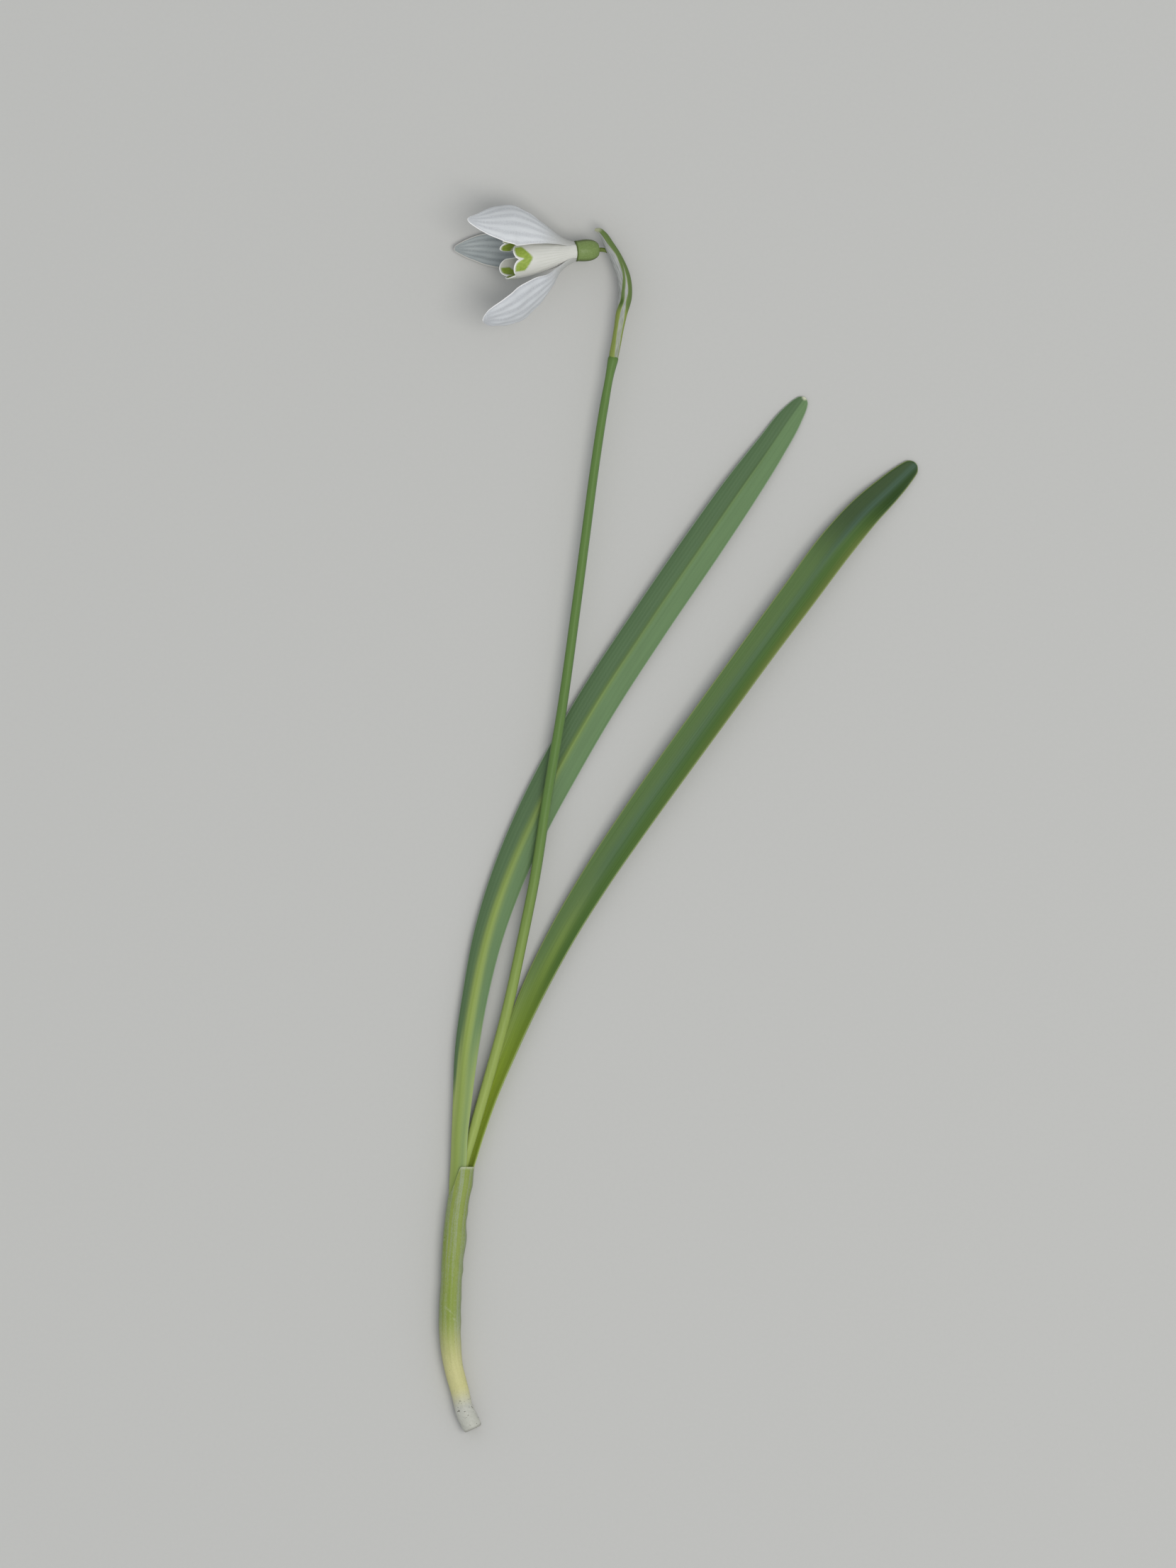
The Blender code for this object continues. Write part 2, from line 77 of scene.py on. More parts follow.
def unit(vectors: Array) -> Array:
    """Scale rows of vectors to length 1."""
    return vectors / np.linalg.norm(vectors, axis=-1, keepdims=True)


def smooth(knots: Rows | Array, at: Array | float) -> Array:
    """Read a smooth curve through knots, as a cubic whose slopes are the knots' own.

    Args:
        knots: Rows whose first column is the parameter.
        at: The parameters to read.

    Returns:
        The other columns at each parameter, as the last axis.
    """
    knots = np.asarray(knots, float)
    at = np.clip(np.asarray(at, float), knots[0, 0], knots[-1, 0])
    slopes = np.gradient(knots[:, 1:], knots[:, 0], axis=0)
    index = np.clip(np.searchsorted(knots[:, 0], at, side="right") - 1, 0, len(knots) - 2)
    start = knots[index, 0]
    span = (knots[index + 1, 0] - start)[..., None]
    t = (at - start)[..., None] / span
    return (knots[index, 1:] * (2 * t**3 - 3 * t**2 + 1)
            + slopes[index] * span * (t**3 - 2 * t**2 + t)
            + knots[index + 1, 1:] * (3 * t**2 - 2 * t**3)
            + slopes[index + 1] * span * (t**3 - t**2))


def curve(knots: Rows, at: Array | float) -> Array:
    """Read the one value of a smooth curve through pairs of parameter and value."""
    return smooth(knots, at)[..., 0]


def ease(values: Array, low: float, high: float) -> Array:
    """Rise smoothly from 0 at low to 1 at high, or fall when low is the larger."""
    t = np.clip((values - low) / (high - low), 0.0, 1.0)
    return t * t * (3.0 - 2.0 * t)


def bump(values: Array, centre: float, width: float) -> Array:
    """A bell curve of height 1 about a centre."""
    return np.exp(-(((values - centre) / width) ** 2))


def ripple(seed: int, at: Array, length: float, waves: int = 5) -> Array:
    """A random wave between about -1 and 1: a sum of sines near one wavelength."""
    random = np.random.default_rng(seed)
    speed = random.uniform(0.6, 1.7, waves) * 2.0 * math.pi / length
    phase = random.uniform(0.0, 2.0 * math.pi, waves)
    return np.sin(at[..., None] * speed + phase).sum(axis=-1) / math.sqrt(2.0 * waves)


def dense_ends(count: int, low: float = -1.0, high: float = 1.0) -> Array:
    """Numbers from low to high that crowd at both ends, as a sine does at its peaks."""
    swing = np.sin(np.linspace(-math.pi / 2, math.pi / 2, count))
    return low + (high - low) * (swing + 1.0) / 2.0


@dataclass(frozen=True)
class Line:
    """A smooth line through rows of x, y, z and the further values that go with them."""

    rows: Rows

    @cached_property
    def run(self) -> Array:
        """Millimetres along the line from its start to each row."""
        steps = np.diff(np.asarray(self.rows, float)[:, :3], axis=0)
        return np.concatenate(((0.0,), np.cumsum(np.linalg.norm(steps, axis=1))))

    @property
    def length(self) -> float:
        """The line's length in millimetres, from row to row."""
        return float(self.run[-1])

    @cached_property
    def knots(self) -> Array:
        """The rows with their share of the line's length in front."""
        return np.column_stack((self.run / self.length, self.rows))

    def values(self, at: Array) -> Array:
        """Read x, y, z and the further values at shares of the length."""
        return smooth(self.knots, at)

    def frame(self, at: Array, roll: Array | float = 0.0) -> tuple[Array, Array]:
        """Return the right and upward sides of the line, turned by a roll, right going up."""
        step = 1e-3
        ahead = self.values(np.minimum(at + step, 1.0))[..., :3]
        behind = self.values(np.maximum(at - step, 0.0))[..., :3]
        tangent = unit(ahead - behind)
        side = unit(np.cross(tangent, (0.0, 0.0, 1.0)))
        up = np.cross(side, tangent)
        turn = np.radians(np.broadcast_to(roll, np.shape(at)))[..., None]
        return side * np.cos(turn) + up * np.sin(turn), up * np.cos(turn) - side * np.sin(turn)

    def around(self, at: Array, turn: Array, radius: Array, roll: Array | float = 0.0) -> Array:
        """Points at a radius from the line, at an angle from its top towards its right."""
        side, up = self.frame(at, roll)
        ring = side * np.sin(turn)[..., None] + up * np.cos(turn)[..., None]
        return self.values(at)[..., :3] + ring * radius[..., None]


# ---------------------------------------------------------------- closed surfaces


@dataclass
class Chart:
    """What the materials read at each point of a grid of rows and columns.

    Attributes:
        place: Millimetres across and along the piece, and 1 or -1 for its two faces.
        share: From -1 to 1 across, from 0 to 1 along, and millimetres to the margin.
        marks: Three masks from 0 to 1, whose meaning the piece's finish says.
    """

    place: Array
    share: Array
    marks: Array

    def turned(self) -> "Chart":
        """The same chart for the other face."""
        return replace(self, place=self.place * (1.0, 1.0, -1.0))


def chart(across: Array, along: Array, share: tuple[Array, Array], margin: Array | float,
          marks: Marks) -> Chart:
    """Gather one face's values into a chart of rows x columns x 3 arrays."""
    shape = np.broadcast_shapes(np.shape(across), np.shape(along))

    def stack(parts: Marks) -> Array:
        """Put the parts side by side as the last axis."""
        return np.stack([np.broadcast_to(part, shape) for part in parts], axis=-1)

    return Chart(stack((across, along, 1.0)), stack((*share, margin)), stack(marks))


@dataclass
class Shell:
    """A closed surface in millimetres, with the values that its material reads."""

    points: Array
    faces: list[list[int]]
    values: dict[str, Array]

    def mesh(self, name: str) -> bpy.types.Mesh:
        """Make the mesh in metres, its faces turned outwards, and put the values on it."""
        corners = np.array([(face[0], face[1], face[2]) for face in self.faces]
                           + [(face[0], face[2], face[-1]) for face in self.faces])
        first, second, third = (self.points[corners[:, column]] for column in range(3))
        volume = np.einsum("ij,ij->i", first, np.cross(second, third)).sum()
        faces = self.faces if volume > 0.0 else [face[::-1] for face in self.faces]
        mesh = bpy.data.meshes.new(name)
        mesh.from_pydata((self.points * MM).tolist(), [], faces)
        for key, value in self.values.items():
            layer = mesh.attributes.new(key, "FLOAT_VECTOR", "POINT")
            layer.data.foreach_set("vector", value.astype(np.float32).ravel())
        mesh.shade_smooth()
        mesh.set_sharp_from_angle(angle=math.radians(SHARP_EDGE))
        return mesh


def cells(number: Array) -> list[list[int]]:
    """The four corners of every cell of a grid of point numbers."""
    corners = np.stack((number[:-1, :-1], number[:-1, 1:], number[1:, 1:], number[1:, :-1]),
                       axis=-1)
    return corners.reshape(-1, 4).tolist()


def closed_sheet(outer: Array, inner: Array, face: Chart, wrap: bool = False) -> Shell:
    """Close a sheet's two faces, which share the points of their rim.

    The inner grid gives only its points within the rim. A wrapped sheet goes round, so
    its rim is its first and last rows.
    """
    rows, columns = outer.shape[:2]
    number = np.arange(rows * columns).reshape(rows, columns)
    within = (slice(1, -1), slice(None)) if wrap else (slice(1, -1), slice(1, -1))
    back = number.copy()
    held = back[within]
    back[within] = rows * columns + np.arange(held.size).reshape(held.shape)
    if wrap:
        number, back = (np.column_stack((grid, grid[:, 0])) for grid in (number, back))
    other = face.turned()
    values = {
        key: np.concatenate((getattr(face, key).reshape(-1, 3),
                             getattr(other, key)[within].reshape(-1, 3)))
        for key in KEYS
    }
    points = np.concatenate((outer.reshape(-1, 3), inner[within].reshape(-1, 3)))
    return Shell(points, cells(number) + cells(back[:, ::-1]), values)


def closed_tube(rings: Array, face: Chart) -> Shell:
    """Close rings of points into a solid stalk, with a point at the middle of each end."""
    rows, columns = rings.shape[:2]
    number = np.arange(rows * columns).reshape(rows, columns)
    around = np.column_stack((number, number[:, 0]))
    first, last = rows * columns, rows * columns + 1
    faces = cells(around)
    faces += [[first, int(b), int(a)] for a, b in zip(around[0, :-1], around[0, 1:])]
    faces += [[last, int(a), int(b)] for a, b in zip(around[-1, :-1], around[-1, 1:])]
    values = {}
    for key in KEYS:
        grid = getattr(face, key)
        ends = np.stack((grid[0].mean(axis=0), grid[-1].mean(axis=0)))
        values[key] = np.concatenate((grid.reshape(-1, 3), ends))
    poles = np.stack((rings[0].mean(axis=0), rings[-1].mean(axis=0)))
    return Shell(np.concatenate((rings.reshape(-1, 3), poles)), faces, values)


# ---------------------------------------------------------------- shader graphs


def joined(operation: str, flipped: bool = False) -> Callable[["Wire", "Wire | float"], "Wire"]:
    """Make an operator that adds a Math node, flipped when the wire comes second."""

    def join(self: "Wire", other: "Wire | float") -> "Wire":
        """Join a wire and a number or another wire."""
        return self.graph.math(operation, *((other, self) if flipped else (self, other)))

    return join


class Wire:
    """A number in a shader graph, on which Python's operators add Math nodes."""

    __add__, __radd__ = joined("ADD"), joined("ADD", flipped=True)
    __sub__, __rsub__ = joined("SUBTRACT"), joined("SUBTRACT", flipped=True)
    __mul__, __rmul__ = joined("MULTIPLY"), joined("MULTIPLY", flipped=True)

    def __init__(self, graph: "Graph", socket: bpy.types.NodeSocket) -> None:
        """Wrap one output socket of the graph."""
        self.graph = graph
        self.socket = socket

    def rise(self, low: float, high: float) -> "Wire":
        """Rise smoothly from 0 at low to 1 at high, or fall when low is the larger."""
        node = self.graph.node("MapRange", {"interpolation_type": "SMOOTHSTEP"},
                               {"Value": self, "From Min": low, "From Max": high})
        return Wire(self.graph, node.outputs["Result"])


Paint = bpy.types.NodeSocket | Colour


class Graph:
    """The node graph of one material."""

    def __init__(self, name: str) -> None:
        """Make a material with an empty graph."""
        self.material = bpy.data.materials.new(name)
        self.material.use_nodes = True
        self.tree = self.material.node_tree
        self.tree.nodes.clear()

    def node(self, kind: str, settings: dict, sockets: dict) -> bpy.types.Node:
        """Add a node.

        Args:
            kind: The node's type, without its ShaderNode in front.
            settings: The node's properties, which are set first.
            sockets: A value, a socket or a wire for each input, by name or number.

        Returns:
            The node.
        """
        made = self.tree.nodes.new(f"ShaderNode{kind}")
        for key, value in settings.items():
            setattr(made, key, value)
        for key, value in sockets.items():
            if isinstance(value, Wire):
                value = value.socket
            if isinstance(value, bpy.types.NodeSocket):
                self.tree.links.new(value, made.inputs[key])
            else:
                made.inputs[key].default_value = value
        return made

    def math(self, operation: str, *values: Wire | float) -> Wire:
        """Add a Math node on wires and numbers."""
        node = self.node("Math", {"operation": operation}, dict(enumerate(values)))
        return Wire(self, node.outputs[0])

    def mix(self, factor: Wire | float, first: Paint, second: Paint,
            blend: str = "MIX") -> bpy.types.NodeSocket:
        """Mix two colours, the second one by the factor."""
        node = self.node("Mix", {"data_type": "RGBA", "blend_type": blend},
                         {0: factor, 6: first, 7: second})
        return node.outputs[2]

    def layers(self, colour: Paint, *layers: tuple[Wire | float, Paint]) -> Paint:
        """Lay more colours over a first one in turn, each by its mask."""
        for mask, upper in layers:
            colour = self.mix(mask, colour, upper)
        return colour

    def shade(self, colour: Paint, by: Wire) -> bpy.types.NodeSocket:
        """Multiply a colour by a number."""
        grey = self.node("CombineXYZ", {}, {0: by, 1: by, 2: by})
        return self.mix(1.0, colour, grey.outputs[0], "MULTIPLY")

    def read(self, name: str) -> tuple[Wire, Wire, Wire]:
        """Read the three numbers of a mesh attribute."""
        source = self.node("Attribute", {"attribute_name": name}, {})
        parts = self.node("SeparateXYZ", {}, {0: source.outputs["Vector"]})
        return tuple(Wire(self, part) for part in parts.outputs)

    def grain(self, scale: tuple[float, float, float], detail: float = 2.0,
              on_surface: bool = True, warp: float = 0.0) -> Wire:
        """Noise with the given cells per millimetre along the three directions.

        On the surface, they are across, along and the face; else they are X, Y and Z.
        """
        if on_surface:
            vector = self.node("Attribute", {"attribute_name": "place"}, {}).outputs["Vector"]
        else:
            vector = self.node("TexCoord", {}, {}).outputs["Object"]
            scale = tuple(part / MM for part in scale)
        stretched = self.node("VectorMath", {"operation": "MULTIPLY"}, {0: vector, 1: scale})
        noise = self.node("TexNoise", {}, {"Vector": stretched.outputs[0], "Scale": 1.0,
                                           "Detail": detail, "Distortion": warp})
        return Wire(self, noise.outputs["Fac"])

    def close(self, colour: Paint, roughness: Wire | float, height: Wire, depth: float,
              gloss: float, glow: float = 0.0) -> bpy.types.Material:
        """Join the colour, roughness and relief to the surface shader.

        Args:
            colour: The base colour.
            roughness: The roughness.
            height: The relief from 0 to 1.
            depth: What 1 of the relief means in millimetres.
            gloss: The specular level.
            glow: How much of the light spreads under the skin.

        Returns:
            The finished material.
        """
        relief = self.node("Bump", {}, {"Strength": 1.0, "Distance": depth * MM,
                                        "Height": height})
        sockets = {"Base Color": colour, "Roughness": roughness,
                   "Normal": relief.outputs["Normal"], "Specular IOR Level": gloss}
        if glow:
            sockets |= {"Subsurface Weight": glow, "Subsurface Scale": MM,
                        "Subsurface Radius": EVEN}
        shader = self.node("BsdfPrincipled", {}, sockets)
        self.node("OutputMaterial", {}, {"Surface": shader.outputs["BSDF"]})
        return self.material


# ---------------------------------------------------------------- finishes


@dataclass(frozen=True)
class OuterPetalFinish:
    """White petal skin: pale ribs between greyer grooves, and a bright margin.

    Marks: ribs, margin, and a greyer foot that is painted shade at the petal's base.
    """

    name: str = "outer_petal_skin"
    rib: Colour = srgb(215, 218, 220)
    groove: Colour = srgb(203, 206, 209)
    margin: Colour = srgb(244, 244, 243)
    # Painted shade: the greyer colour at the petal's foot, by the cup.
    foot: Colour = srgb(174, 174, 167)
    pore: float = 0.12  # how much the small pores darken the grooves

    def material(self) -> bpy.types.Material:
        """Build the material."""
        graph = Graph(self.name)
        ribs, margin, foot = graph.read("marks")
        pores = graph.grain((6.5, 3.6, 1.0), detail=3.0)
        streaks = graph.grain((2.6, 0.16, 1.0))
        light = (ribs + (streaks - 0.5) * 1.1).rise(-0.2, 1.1)
        tone = 1.0 - (1.0 - pores.rise(0.38, 0.62)) * (1.15 - light) * self.pore
        colour = graph.shade(graph.mix(light, self.groove, self.rib), tone)
        # The foot layer is painted shade towards the petal's base.
        colour = graph.layers(colour, (foot * 0.8, self.foot), (margin, self.margin))
        return graph.close(colour, 0.5 - light * 0.06, pores * (1.0 - margin), 0.03,
                           gloss=0.35, glow=0.25)


@dataclass(frozen=True)
class InnerPetalFinish:
    """Creamy white skin with fine veins and an apple-green mark round the notch.

    Marks: green mark, margin, veins. The mark's border is where its mask is one half.
    """

    name: str = "inner_petal_skin"
    skin: Colour = srgb(210, 210, 203)
    vein: Colour = srgb(188, 189, 178)
    margin: Colour = srgb(248, 248, 246)
    mark: Colour = srgb(152, 172, 72)
    mark_deep: Colour = srgb(134, 157, 56)

    def material(self) -> bpy.types.Material:
        """Build the material."""
        graph = Graph(self.name)
        mark, margin, veins = graph.read("marks")
        fine = graph.grain((6.0, 5.0, 1.0))
        soft = graph.grain((2.6, 1.6, 1.0))
        ragged = mark + (fine - 0.5) * 0.20 + (soft - 0.5) * 0.10
        green = graph.mix((soft * 0.7 + fine * 0.3).rise(0.3, 0.7), self.mark, self.mark_deep)
        colour = graph.layers(self.skin, (veins * (0.25 + 0.5 * fine), self.vein),
                              (margin, self.margin), (ragged.rise(0.30, 0.72), green))
        return graph.close(colour, 0.45, fine, 0.02, gloss=0.35, glow=0.3)


@dataclass(frozen=True)
class LeafBackFinish:
    """The waxy grey-green back of a leaf, with a yellow-green keel; its left half is painted darker
    as the shade of the keel's slope.

    Marks: keel, pale apex, yellow foot.
    """

    name: str = "leaf_back_skin"
    # Painted shade: the left half is darker than the right for the slope of the keel away from the
    # light.
    left: Colour = srgb(83, 108, 74)
    right: Colour = srgb(98, 126, 85)
    keel: Colour = srgb(128, 148, 72)
    foot: Colour = srgb(161, 177, 103)
    margin: Colour = srgb(160, 176, 154)
    apex: Colour = srgb(214, 214, 190)
    face: Colour = srgb(80, 113, 62)

    def material(self) -> bpy.types.Material:
        """Build the material."""
        graph = Graph(self.name)
        across, _, edge = graph.read("share")
        keel, apex, foot = graph.read("marks")
        side = graph.read("place")[2]
        pebbles = graph.grain((6.0, 3.0, 1.0))
        streaks = graph.grain((2.4, 0.05, 1.0), detail=3.0)
        wax = graph.grain((0.5, 0.12, 1.0))
        # The left half's darker colour is painted shade.
        colour = graph.layers(
            self.left, (across.rise(-0.07, 0.07), self.right), (foot, self.foot),
            (keel * (0.5 + 0.5 * streaks), self.keel), (side.rise(0.0, -0.2), self.face))
        colour = graph.shade(colour, 0.80 + 0.22 * streaks + 0.10 * pebbles + 0.10 * wax)
        rim = edge.rise(0.24, 0.06) * (0.75 - 0.6 * foot)
        colour = graph.layers(colour, (rim, self.margin), (apex, self.apex))
        return graph.close(colour, 0.46 + pebbles * 0.12, pebbles, 0.03, gloss=0.16)


@dataclass(frozen=True)
class LeafFaceFinish:
    """The green face of a leaf: fine lines, a bluish waxy band and a yellower margin.

    Marks: waxy band, a fold line painted darker as the shade in its crease, and a dark apex painted
    as the shade where the tip bends down and its left margin rolls.
    """

    name: str = "leaf_face_skin"
    blade: Colour = srgb(72, 101, 45)
    band: Colour = srgb(76, 103, 70)
    # Painted shade: the darker green of the fold's crease.
    fold: Colour = srgb(66, 96, 50)
    foot: Colour = srgb(150, 171, 58)
    rim: Colour = srgb(112, 120, 56)
    margin: Colour = srgb(140, 152, 100)
    # Painted shade: the dark apex and the darker wax band near the tip, where the tip bends down.
    apex: Colour = srgb(38, 65, 18)
    tip_band: Colour = srgb(66, 92, 74)
    back: Colour = srgb(90, 118, 82)

    def material(self) -> bpy.types.Material:
        """Build the material."""
        graph = Graph(self.name)
        across, along, edge = graph.read("share")
        band, fold, apex = graph.read("marks")
        side = graph.read("place")[2]
        lines = graph.grain((5.5, 0.04, 1.0), detail=3.0)
        streaks = graph.grain((1.5, 0.03, 1.0))
        specks = graph.grain((2.6, 1.6, 1.0), detail=1.0)
        warm = across.rise(0.4, 1.0) * along.rise(0.97, 0.9) * along.rise(0.5, 0.85)
        # Painted shade: the apex layers darken the tip where it bends down, and the fold layer
        # darkens the crease.
        wax = graph.layers(self.band, (apex, self.tip_band),
                           (along.rise(0.56, 0.42) * 0.5, self.foot))
        colour = graph.layers(
            self.blade, (along.rise(0.46, 0.27), self.foot),
            (warm * (0.25 + 0.6 * streaks), self.rim), (apex, self.apex),
            (band * (0.55 + 0.5 * lines), wax), (fold * 0.6, self.fold))
        back = graph.mix(along.rise(0.45, 0.24), self.back, self.foot)
        colour = graph.layers(
            graph.shade(colour, 0.76 + 0.34 * lines + 0.14 * streaks),
            (edge.rise(0.20, 0.05) * 0.7, self.margin),
            (specks.rise(0.80, 0.86) * 0.5, self.margin), (side.rise(0.0, -0.2), back))
        return graph.close(colour, 0.42 + band * 0.10, lines, 0.03, gloss=0.2)


@dataclass(frozen=True)
class StalkFinish:
    """Satin green stalk with faint long ribs.

    Marks: yellow foot, waxy side, which is both waxy bloom and a painted highlight on the right
    side, dark joint.
    """

    name: str = "stalk_skin"
    skin: Colour = srgb(92, 122, 62)
    foot: Colour = srgb(146, 163, 84)
    # Waxy bloom and a painted highlight: the paler colour of the stalk's right side.
    wax: Colour = srgb(100, 126, 84)
    joint: Colour = srgb(84, 116, 52)

    def material(self) -> bpy.types.Material:
        """Build the material."""
        graph = Graph(self.name)
        foot, wax, joint = graph.read("marks")
        streaks = graph.grain((2.6, 0.10, 2.6), detail=3.0, on_surface=False)
        fine = graph.grain((7.0, 3.0, 7.0), on_surface=False)
        # The wax layer is waxy bloom and also a painted highlight on the right side.
        colour = graph.layers(self.skin, (foot, self.foot), (wax * 0.6, self.wax),
                              (joint, self.joint))
        colour = graph.shade(colour, 0.84 + 0.22 * streaks + 0.10 * fine)
        return graph.close(colour, 0.46, 0.6 * streaks + 0.4 * fine, 0.02, gloss=0.2)


@dataclass(frozen=True)
class SpatheFinish:
    """A bract of green keels joined by a thin, whitish, wrinkled skin.

    Marks: keels, a dark patch painted as the shade in the opening between the keels, pale tip.
    """

    name: str = "spathe_skin"
    keel: Colour = srgb(92, 114, 58)
    sunny: Colour = srgb(132, 146, 70)
    film: Colour = srgb(162, 164, 161)
    # Painted shade: the darker colour of the wrinkles' hollows.
    crease: Colour = srgb(128, 132, 129)
    # Painted shade: the dark patch where the opening between the keels lies in shade.
    gap_shade: Colour = srgb(64, 88, 28)
    tip: Colour = srgb(176, 178, 150)

    def material(self) -> bpy.types.Material:
        """Build the material."""
        graph = Graph(self.name)
        keel, gap_shade, tip = graph.read("marks")
        along = graph.read("share")[1]
        wrinkles = graph.grain((3.4, 0.45, 1.0), detail=3.0, warp=0.3)
        fibres = graph.grain((6.0, 0.25, 1.0))
        # Painted shade: the film is darker in the hollows of the wrinkles.
        film = graph.layers(self.film, (wrinkles.rise(0.60, 0.34) * 0.6, self.crease),
                            (along.rise(0.40, 0.20) * 0.3, self.sunny))
        sunny = along.rise(0.42, 0.30) + (1.0 - keel.rise(0.55, 1.0)) * 0.6
        green = graph.mix(sunny.rise(0.0, 1.0) * 0.85, self.keel, self.sunny)
        border = (keel + (wrinkles - 0.5) * 0.4).rise(0.22, 0.78)
        colour = graph.layers(
            graph.shade(film, 0.86 + 0.28 * fibres),
            (border, graph.shade(green, 0.84 + 0.32 * fibres)),
            (gap_shade, self.gap_shade), (tip * 0.8, self.tip))
        return graph.close(colour, 0.44 + 0.06 * border, wrinkles, 0.03, gloss=0.3, glow=0.1)


@dataclass(frozen=True)
class OvaryFinish:
    """A green ovary with pale dots, and olive sides painted as the shade where it turns away
    towards its outline.

    Marks: olive sides, which are painted shade, and an olive rim at the petals.
    """

    name: str = "ovary_skin"
    skin: Colour = srgb(110, 131, 72)
    olive: Colour = srgb(64, 80, 18)
    dots: Colour = srgb(126, 146, 90)

    def material(self) -> bpy.types.Material:
        """Build the material."""
        graph = Graph(self.name)
        sides, rim, _ = graph.read("marks")
        dots = graph.grain((5.0, 5.0, 5.0), on_surface=False)
        # The olive sides are painted shade towards the outline seen from above.
        colour = graph.layers(self.skin, (dots.rise(0.35, 0.70) * 0.7, self.dots),
                              (sides, self.olive), (rim * 0.6, self.olive))
        return graph.close(colour, 0.42, dots, 0.02, gloss=0.3)


@dataclass(frozen=True)
class SheathFinish:
    """The sheath: green with whitish and yellow-green streaks, cream towards the cut.

    Marks: cream foot, bleached end, dry rim of the mouth.
    """

    name: str = "sheath_skin"
    green: Colour = srgb(134, 149, 74)
    streak: Colour = srgb(128, 147, 60)
    white: Colour = srgb(143, 154, 124)
    cream: Colour = srgb(194, 191, 136)
    bleached: Colour = srgb(184, 185, 175)
    rim: Colour = srgb(168, 176, 142)
    soil: Colour = srgb(52, 42, 28)

    def material(self) -> bpy.types.Material:
        """Build the material: soil lies thickest low down and on the right."""
        graph = Graph(self.name)
        cream, bleached, rim = graph.read("marks")
        across, along, _ = graph.read("share")
        lines = graph.grain((2.2, 0.035, 1.0), detail=3.0)
        bands = graph.grain((0.9, 0.02, 1.0), detail=1.0)
        flakes = graph.grain((6.0, 3.0, 6.0), detail=3.0, on_surface=False)
        crumbs = graph.grain((2.7, 2.7, 2.7), on_surface=False)
        sides = across.rise(0.12, 0.42) + across.rise(-0.20, -0.48)
        pale = (lines + (flakes - 0.5) * 0.4 + sides * 0.22).rise(0.46, 0.70)
        colour = graph.layers(
            self.green, (bands.rise(0.42, 0.60) * 0.9, self.streak), (pale * 0.8, self.white),
            (cream, self.cream), (bleached, self.bleached))
        shadow = 1.0 - 0.14 * across.rise(0.15, 0.45) * along.rise(0.2, 0.5)
        tone = (0.80 + 0.14 * lines + 0.26 * flakes) * shadow
        dirty = 0.085 * (1.0 - along.rise(0.05, 0.3)) + 0.05 * across.rise(0.15, 0.4)
        dirty = dirty * (1.0 - across.rise(0.5, 0.7)) * (1.0 - along.rise(0.42, 0.52))
        soil = (crumbs + dirty).rise(0.760, 0.775) + along.rise(0.012, 0.0) * 0.4
        colour = graph.layers(graph.shade(colour, tone),
                              (rim * flakes.rise(0.25, 0.55), self.rim), (soil * 0.85, self.soil))
        height = 0.5 * lines + 0.3 * flakes + 0.4 * soil
        return graph.close(colour, 0.5, height, 0.04, gloss=0.2, glow=0.08)


@dataclass(frozen=True)
class StamenFinish:
    """A pale filament and an orange anther. Marks: anther."""

    name: str = "stamen_skin"
    filament: Colour = srgb(232, 232, 214)
    anther: Colour = srgb(222, 158, 40)

    def material(self) -> bpy.types.Material:
        """Build the material."""
        graph = Graph(self.name)
        dust = graph.grain((9.0, 9.0, 9.0), on_surface=False)
        colour = graph.mix(graph.read("marks")[0], self.filament, self.anther)
        return graph.close(graph.shade(colour, 0.85 + 0.3 * dust), 0.65, dust, 0.03, gloss=0.3)


@dataclass(frozen=True)
class FloorFinish:
    """A plain pale matt surface."""

    name: str = "floor_paper"
    paper: Colour = srgb(190, 190, 187)

    def material(self) -> bpy.types.Material:
        """Build the material."""
        graph = Graph(self.name)
        tooth = graph.grain((1.5, 1.5, 1.5), on_surface=False)
        colour = graph.shade(self.paper, 0.985 + 0.03 * tooth)
        return graph.close(colour, 0.9, tooth, 0.01, gloss=0.15)


# ---------------------------------------------------------------- pieces


class Slot(Enum):
    """Names of the material slots."""

    SHEATH = "sheath"
    SCALE = "scale"
    LEAF_BACK = "leaf_underside"
    LEAF_FACE = "leaf_face"
    STALK = "stalk"
    PEDICEL = "pedicel"
    SPATHE = "spathe"
    OVARY = "ovary"
    OUTER_PETAL = "outer_petal"
    INNER_PETAL = "inner_petal"
    STYLE = "style"
    ANTHER = "anther"


def link(name: str, data: bpy.types.ID) -> bpy.types.Object:
    """Put an object with its mesh, lamp or camera into the scene."""
    made = bpy.data.objects.new(name, data)
    bpy.context.scene.collection.objects.link(made)
    return made


def set_piece(name: str, shell: Shell, material: bpy.types.Material, node: str,
              slot: Slot) -> None:
    """Put a piece into the scene in place of its node.

    Args:
        name: The piece's own name.
        shell: Its surface.
        material: Its finish.
        node: The CAD node that it stands for.
        slot: The slot of its finish; not used.
    """
    mesh = shell.mesh(name)
    mesh.materials.append(material)
    piece = link(name, mesh)
    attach(piece, BODY)
    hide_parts(node)
    size = np.ptp(shell.points, axis=0)
    LOG.info("%s: %d faces, %.1f x %.1f x %.1f mm", name, len(shell.faces), *size)


